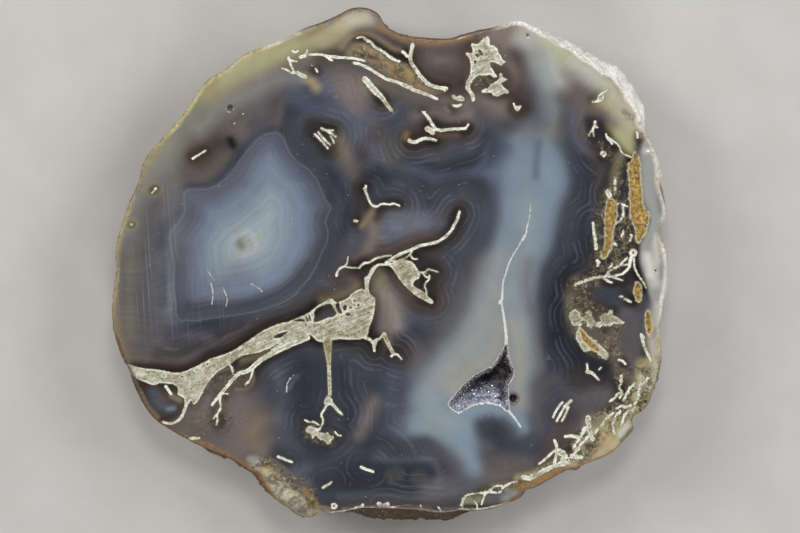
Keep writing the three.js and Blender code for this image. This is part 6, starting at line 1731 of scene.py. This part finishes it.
    # ochre fillings, grainy, with a broken cream border
    grit = noise(tree, place, polish["gritScale"], 4.0, 0.78)
    rough = swung(tree, noise(tree, place, polish["roughScale"], 3.0, 0.7), 1.3, ochre)
    border = calc(tree, "MULTIPLY", fade(tree, rough, 0.5, 0.1), fade(tree, speck, 0.40, 0.52, 0.3, 1.0))
    colour = laid(tree, border, colour, polish["ochreBorder"])
    filled = fade(tree, rough, 0.06, -0.12)
    colour = mixTone(tree, filled, colour, gradient(tree, grit, polish["ochreTones"]))

    # white quartz in the crack and round the mouth of the vug
    seam = calc(tree, "MULTIPLY_ADD", ragged, 0.8, vein)
    patchy = fade(tree, speck, 0.30, 0.55, 0.45, 1.0)
    seamShare = calc(tree, "MULTIPLY", fade(tree, seam, 0.14, -0.06), patchy)
    colour = laid(tree, seamShare, colour, polish["seamTone"])

    # specks of white dust in patches
    dots = spotted(tree, place, polish["dustScale"])
    dusty = calc(tree, "MULTIPLY", fade(tree, dots, 0.10, 0.05), fade(tree, slow, 0.53, 0.62, 0.0, 0.4))
    colour = laid(tree, dusty, colour, polish["dustTone"])

    tree.links.new(colour, shader.inputs["Base Color"])
    dull = calc(tree, "MULTIPLY_ADD", filled, 0.6, polish["roughness"])
    dull = calc(tree, "MULTIPLY_ADD", crusty, 0.4, dull)
    dull = calc(tree, "MULTIPLY_ADD", calc(tree, "MULTIPLY", body, fibre), 0.2, dull)
    tree.links.new(dull, shader.inputs["Roughness"])
    gritty = calc(tree, "MULTIPLY", grit, filled)
    relief = calc(tree, "MULTIPLY_ADD", calc(tree, "MULTIPLY", crumbs, crusty), 0.6, gritty)
    relief = calc(tree, "MULTIPLY_ADD", calc(tree, "MULTIPLY", body, fibre), 0.10, relief)
    bumped(tree, shader, relief, *polish["relief"])
    return material


rindLook = {
    "roughness": 0.8, "crackScale": 420, "grainScale": 2600, "pitScale": 640, "stainScale": 260,
    "fleckScale": 1500,
    "stainTone": (206, 188, 160), "pitTone": (176, 164, 148), "fleckTone": (190, 182, 160),
    "relief": (0.9, 0.0009),
}


def rindMaterial():
    material, tree, shader, place = newMaterial("earthyRind", rindLook["roughness"])
    tone = attribute(tree, "rind", "Color")
    blotch = noise(tree, place, rindLook["crackScale"], 5.0, 0.65, 0.3)
    grain = noise(tree, place, rindLook["grainScale"], 3.0, 0.6)
    shade = swung(tree, grain, 0.5, swung(tree, blotch, 1.3, 1.0))
    light = addNode(tree, "ShaderNodeCombineColor", None, {0: shade, 1: shade, 2: shade}).outputs[0]
    colour = mixTone(tree, 1.0, tone, light, "MULTIPLY")
    bright = addNode(tree, "ShaderNodeRGBToBW", None, {0: tone}).outputs[0]
    earthy = fade(tree, bright, 0.45, 0.85, 0.8, 0.2)
    stain = noise(tree, place, rindLook["stainScale"], 5.0, 0.75, 0.5)
    stain = calc(tree, "MULTIPLY", fade(tree, stain, 0.5, 0.66), earthy)
    colour = laid(tree, stain, colour, rindLook["stainTone"], "MULTIPLY")
    pits = {"Vector": place, "Scale": rindLook["pitScale"], "Detail": 1.5, "Randomness": 1.0}
    pits = addNode(tree, "ShaderNodeTexVoronoi", None, pits).outputs["Distance"]
    sunk = calc(tree, "MULTIPLY", fade(tree, pits, 0.4, 0.7), earthy)
    colour = laid(tree, sunk, colour, rindLook["pitTone"], "MULTIPLY")
    fleck = fade(tree, noise(tree, place, rindLook["fleckScale"], 3.0, 0.7), 0.6, 0.7, 0.0, 0.5)
    colour = laid(tree, fleck, colour, rindLook["fleckTone"])
    tree.links.new(colour, shader.inputs["Base Color"])
    height = calc(tree, "MULTIPLY_ADD", grain, 0.4, blotch)
    height = calc(tree, "MULTIPLY_ADD", pits, -0.5, height)
    bumped(tree, shader, height, *rindLook["relief"])
    return material


backLook = {
    "roughness": 0.55, "sawTurn": 14, "sawSize": (0.0011, 0.08, 0.08), "dustTone": (164, 160, 152),
    "ringScale": 34, "ringCount": 30,
    "tones": [(0.25, (66, 64, 68)), (0.42, (92, 92, 100)), (0.55, (118, 120, 126)), (0.75, (146, 142, 132))],
}


def backMaterial():
    material, tree, shader, place = newMaterial("sawnBack", backLook["roughness"])
    saw = noise(tree, stretched(tree, place, backLook["sawTurn"], backLook["sawSize"]), 1.0, 3.0, 0.6)
    rings = noise(tree, place, backLook["ringScale"], 3.0, 0.45, 0.7)
    bands = lineNoise(tree, rings, backLook["ringCount"], 3.0, 0.6)
    dusty = fade(tree, saw, 0.4, 0.65, 0.05, 0.3)
    colour = laid(tree, dusty, gradient(tree, bands, backLook["tones"]), backLook["dustTone"])
    tree.links.new(colour, shader.inputs["Base Color"])
    bumped(tree, shader, saw, 0.4, 0.0002)
    return material


quartz = {
    "roughness": 0.07,
    "ior": 1.54,
    "transmission": 0.12,
    # wall tones darkened by painted shade, floor tones paled by painted light
    "shadedWallTones": [(0.3, (84, 78, 76)), (0.5, (124, 118, 119)), (0.7, (176, 171, 180))],
    "litFloorTones": [(0.3, (150, 154, 178)), (0.5, (184, 190, 212)), (0.7, (220, 224, 238))],
    # painted glints: the spacing of the glowing white dots, of the patches they show in, and their white
    "patchScale": 900,
    "glintPatchScale": 700,
    "paintedGlintScale": 1500,
    "paintedGlintTone": (250, 250, 255),
}


def quartzMaterial():
    # dark on the steep walls and pale lilac where the floor climbs to the lower edge: the crystals' tones
    # with painted shade on the walls and painted light on the floor
    material, tree, shader, place = newMaterial("drusyQuartz", quartz["roughness"])
    shader.inputs["IOR"].default_value = quartz["ior"]
    patch = noise(tree, place, quartz["patchScale"], 3.0, 0.6)
    paleLit = attribute(tree, "paleLit")
    wall, floor = (gradient(tree, patch, quartz[name]) for name in ("shadedWallTones", "litFloorTones"))
    colour = mixTone(tree, paleLit, wall, floor)
    # painted glints: white dots on the pale floor glow by emission in place of lamp reflections in the
    # crystal facets
    spots = spotted(tree, place, quartz["paintedGlintScale"])
    bright = calc(tree, "MULTIPLY", fade(tree, spots, 0.3, 0.2), fade(tree, paleLit, 0.15, 0.45))
    glintPatches = noise(tree, place, quartz["glintPatchScale"], 1.0)
    bright = calc(tree, "MULTIPLY", bright, fade(tree, glintPatches, 0.5, 0.58))
    shader.inputs["Emission Color"].default_value = displayTone(quartz["paintedGlintTone"])
    tree.links.new(bright, shader.inputs["Emission Strength"])
    tree.links.new(colour, shader.inputs["Base Color"])
    shader.inputs["Transmission Weight"].default_value = quartz["transmission"]
    return material


table = {"size": 1.6, "tone": (182, 180, 176), "palerTone": (187, 185, 181), "roughness": 0.7, "drop": 0.0}
tableGrain = {"mottleScale": 60, "grainScale": 1400}
camera = {
    "aim": (2.0, -0.7),          # drawn mm under the middle of the picture
    "across": 0.160,             # metres of the polish across the picture
    "height": 0.75,              # above the polish
    "sensor": 36.0,
    "nearest": 0.01,
}
lamps = {
    # place in metres, size, watts and colour of each soft lamp
    "left": ((-0.75, 0.35, 0.62), 0.55, 5.7, (1.0, 0.985, 0.96)),
    "right": ((0.72, 0.30, 0.60), 0.55, 4.9, (0.97, 0.985, 1.0)),
    "front": ((0.05, -0.85, 0.62), 0.60, 4.5, (1.0, 1.0, 1.0)),
    "steep": ((0.02, 0.30, 0.80), 0.22, 2.0, (1.0, 0.99, 0.97)),
}
sky = {"tone": (0.62, 0.64, 0.68), "strength": 0.13}


def tableMaterial():
    material, tree, shader, place = newMaterial("paleTable", table["roughness"])
    mottle = noise(tree, place, tableGrain["mottleScale"], 4.0, 0.6)
    grain = noise(tree, place, tableGrain["grainScale"], 2.0, 0.6)
    tone = laid(tree, fade(tree, mottle, 0.35, 0.65), displayTone(table["tone"]), table["palerTone"])
    tree.links.new(tone, shader.inputs["Base Color"])
    bumped(tree, shader, grain, 0.08, 0.0002)
    return material


def buildTable():
    half = table["size"] / 2
    corners = [(x * half, y * half, table["drop"]) for x, y in ((-1, -1), (1, -1), (1, 1), (-1, 1))]
    mesh = bpy.data.meshes.new("paleTable")
    mesh.from_pydata(corners, [], [(0, 1, 2, 3)])
    mesh.materials.append(tableMaterial())
    floor = bpy.data.objects.new("paleTable", mesh)
    bpy.context.scene.collection.objects.link(floor)
    print("table", table["size"], "m across")


def buildCamera():
    lens = bpy.data.cameras.new("overhead")
    lens.sensor_width = camera["sensor"]
    lens.lens = camera["sensor"] * camera["height"] / camera["across"]
    lens.clip_start = camera["nearest"]
    view = bpy.data.objects.new("overhead", lens)
    aim = toFrame([(*camera["aim"], thickness)])[0]
    view.location = (aim[0], aim[1], aim[2] + camera["height"])
    bpy.context.scene.collection.objects.link(view)
    bpy.context.scene.camera = view
    print("camera", camera["height"], "m above the polish")


def buildLamps():
    aim = Vector((0, 0, thickness / 1000))
    for name, (spot, size, watts, warmth) in lamps.items():
        light = bpy.data.lights.new(name, "AREA")
        light.shape, light.size, light.energy, light.color = "DISK", size, watts, warmth
        lamp = bpy.data.objects.new(name, light)
        lamp.location = spot
        lamp.rotation_euler = (Vector(spot) - aim).to_track_quat("Z", "Y").to_euler()
        bpy.context.scene.collection.objects.link(lamp)
    world = bpy.data.worlds.new("softSky")
    world.use_nodes = True
    world.node_tree.nodes["Background"].inputs[0].default_value = (*sky["tone"], 1)
    world.node_tree.nodes["Background"].inputs[1].default_value = sky["strength"]
    bpy.context.scene.world = world
    print("lamps", len(lamps))


buildTable()
buildCamera()
buildLamps()
agateStone = buildStone([polishedMaterial(), rindMaterial(), backMaterial()])
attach(agateStone, "root")
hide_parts("agate_slice")
vugDruse = buildCrust(quartzMaterial())
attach(vugDruse, "root")
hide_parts("vug_crystals")
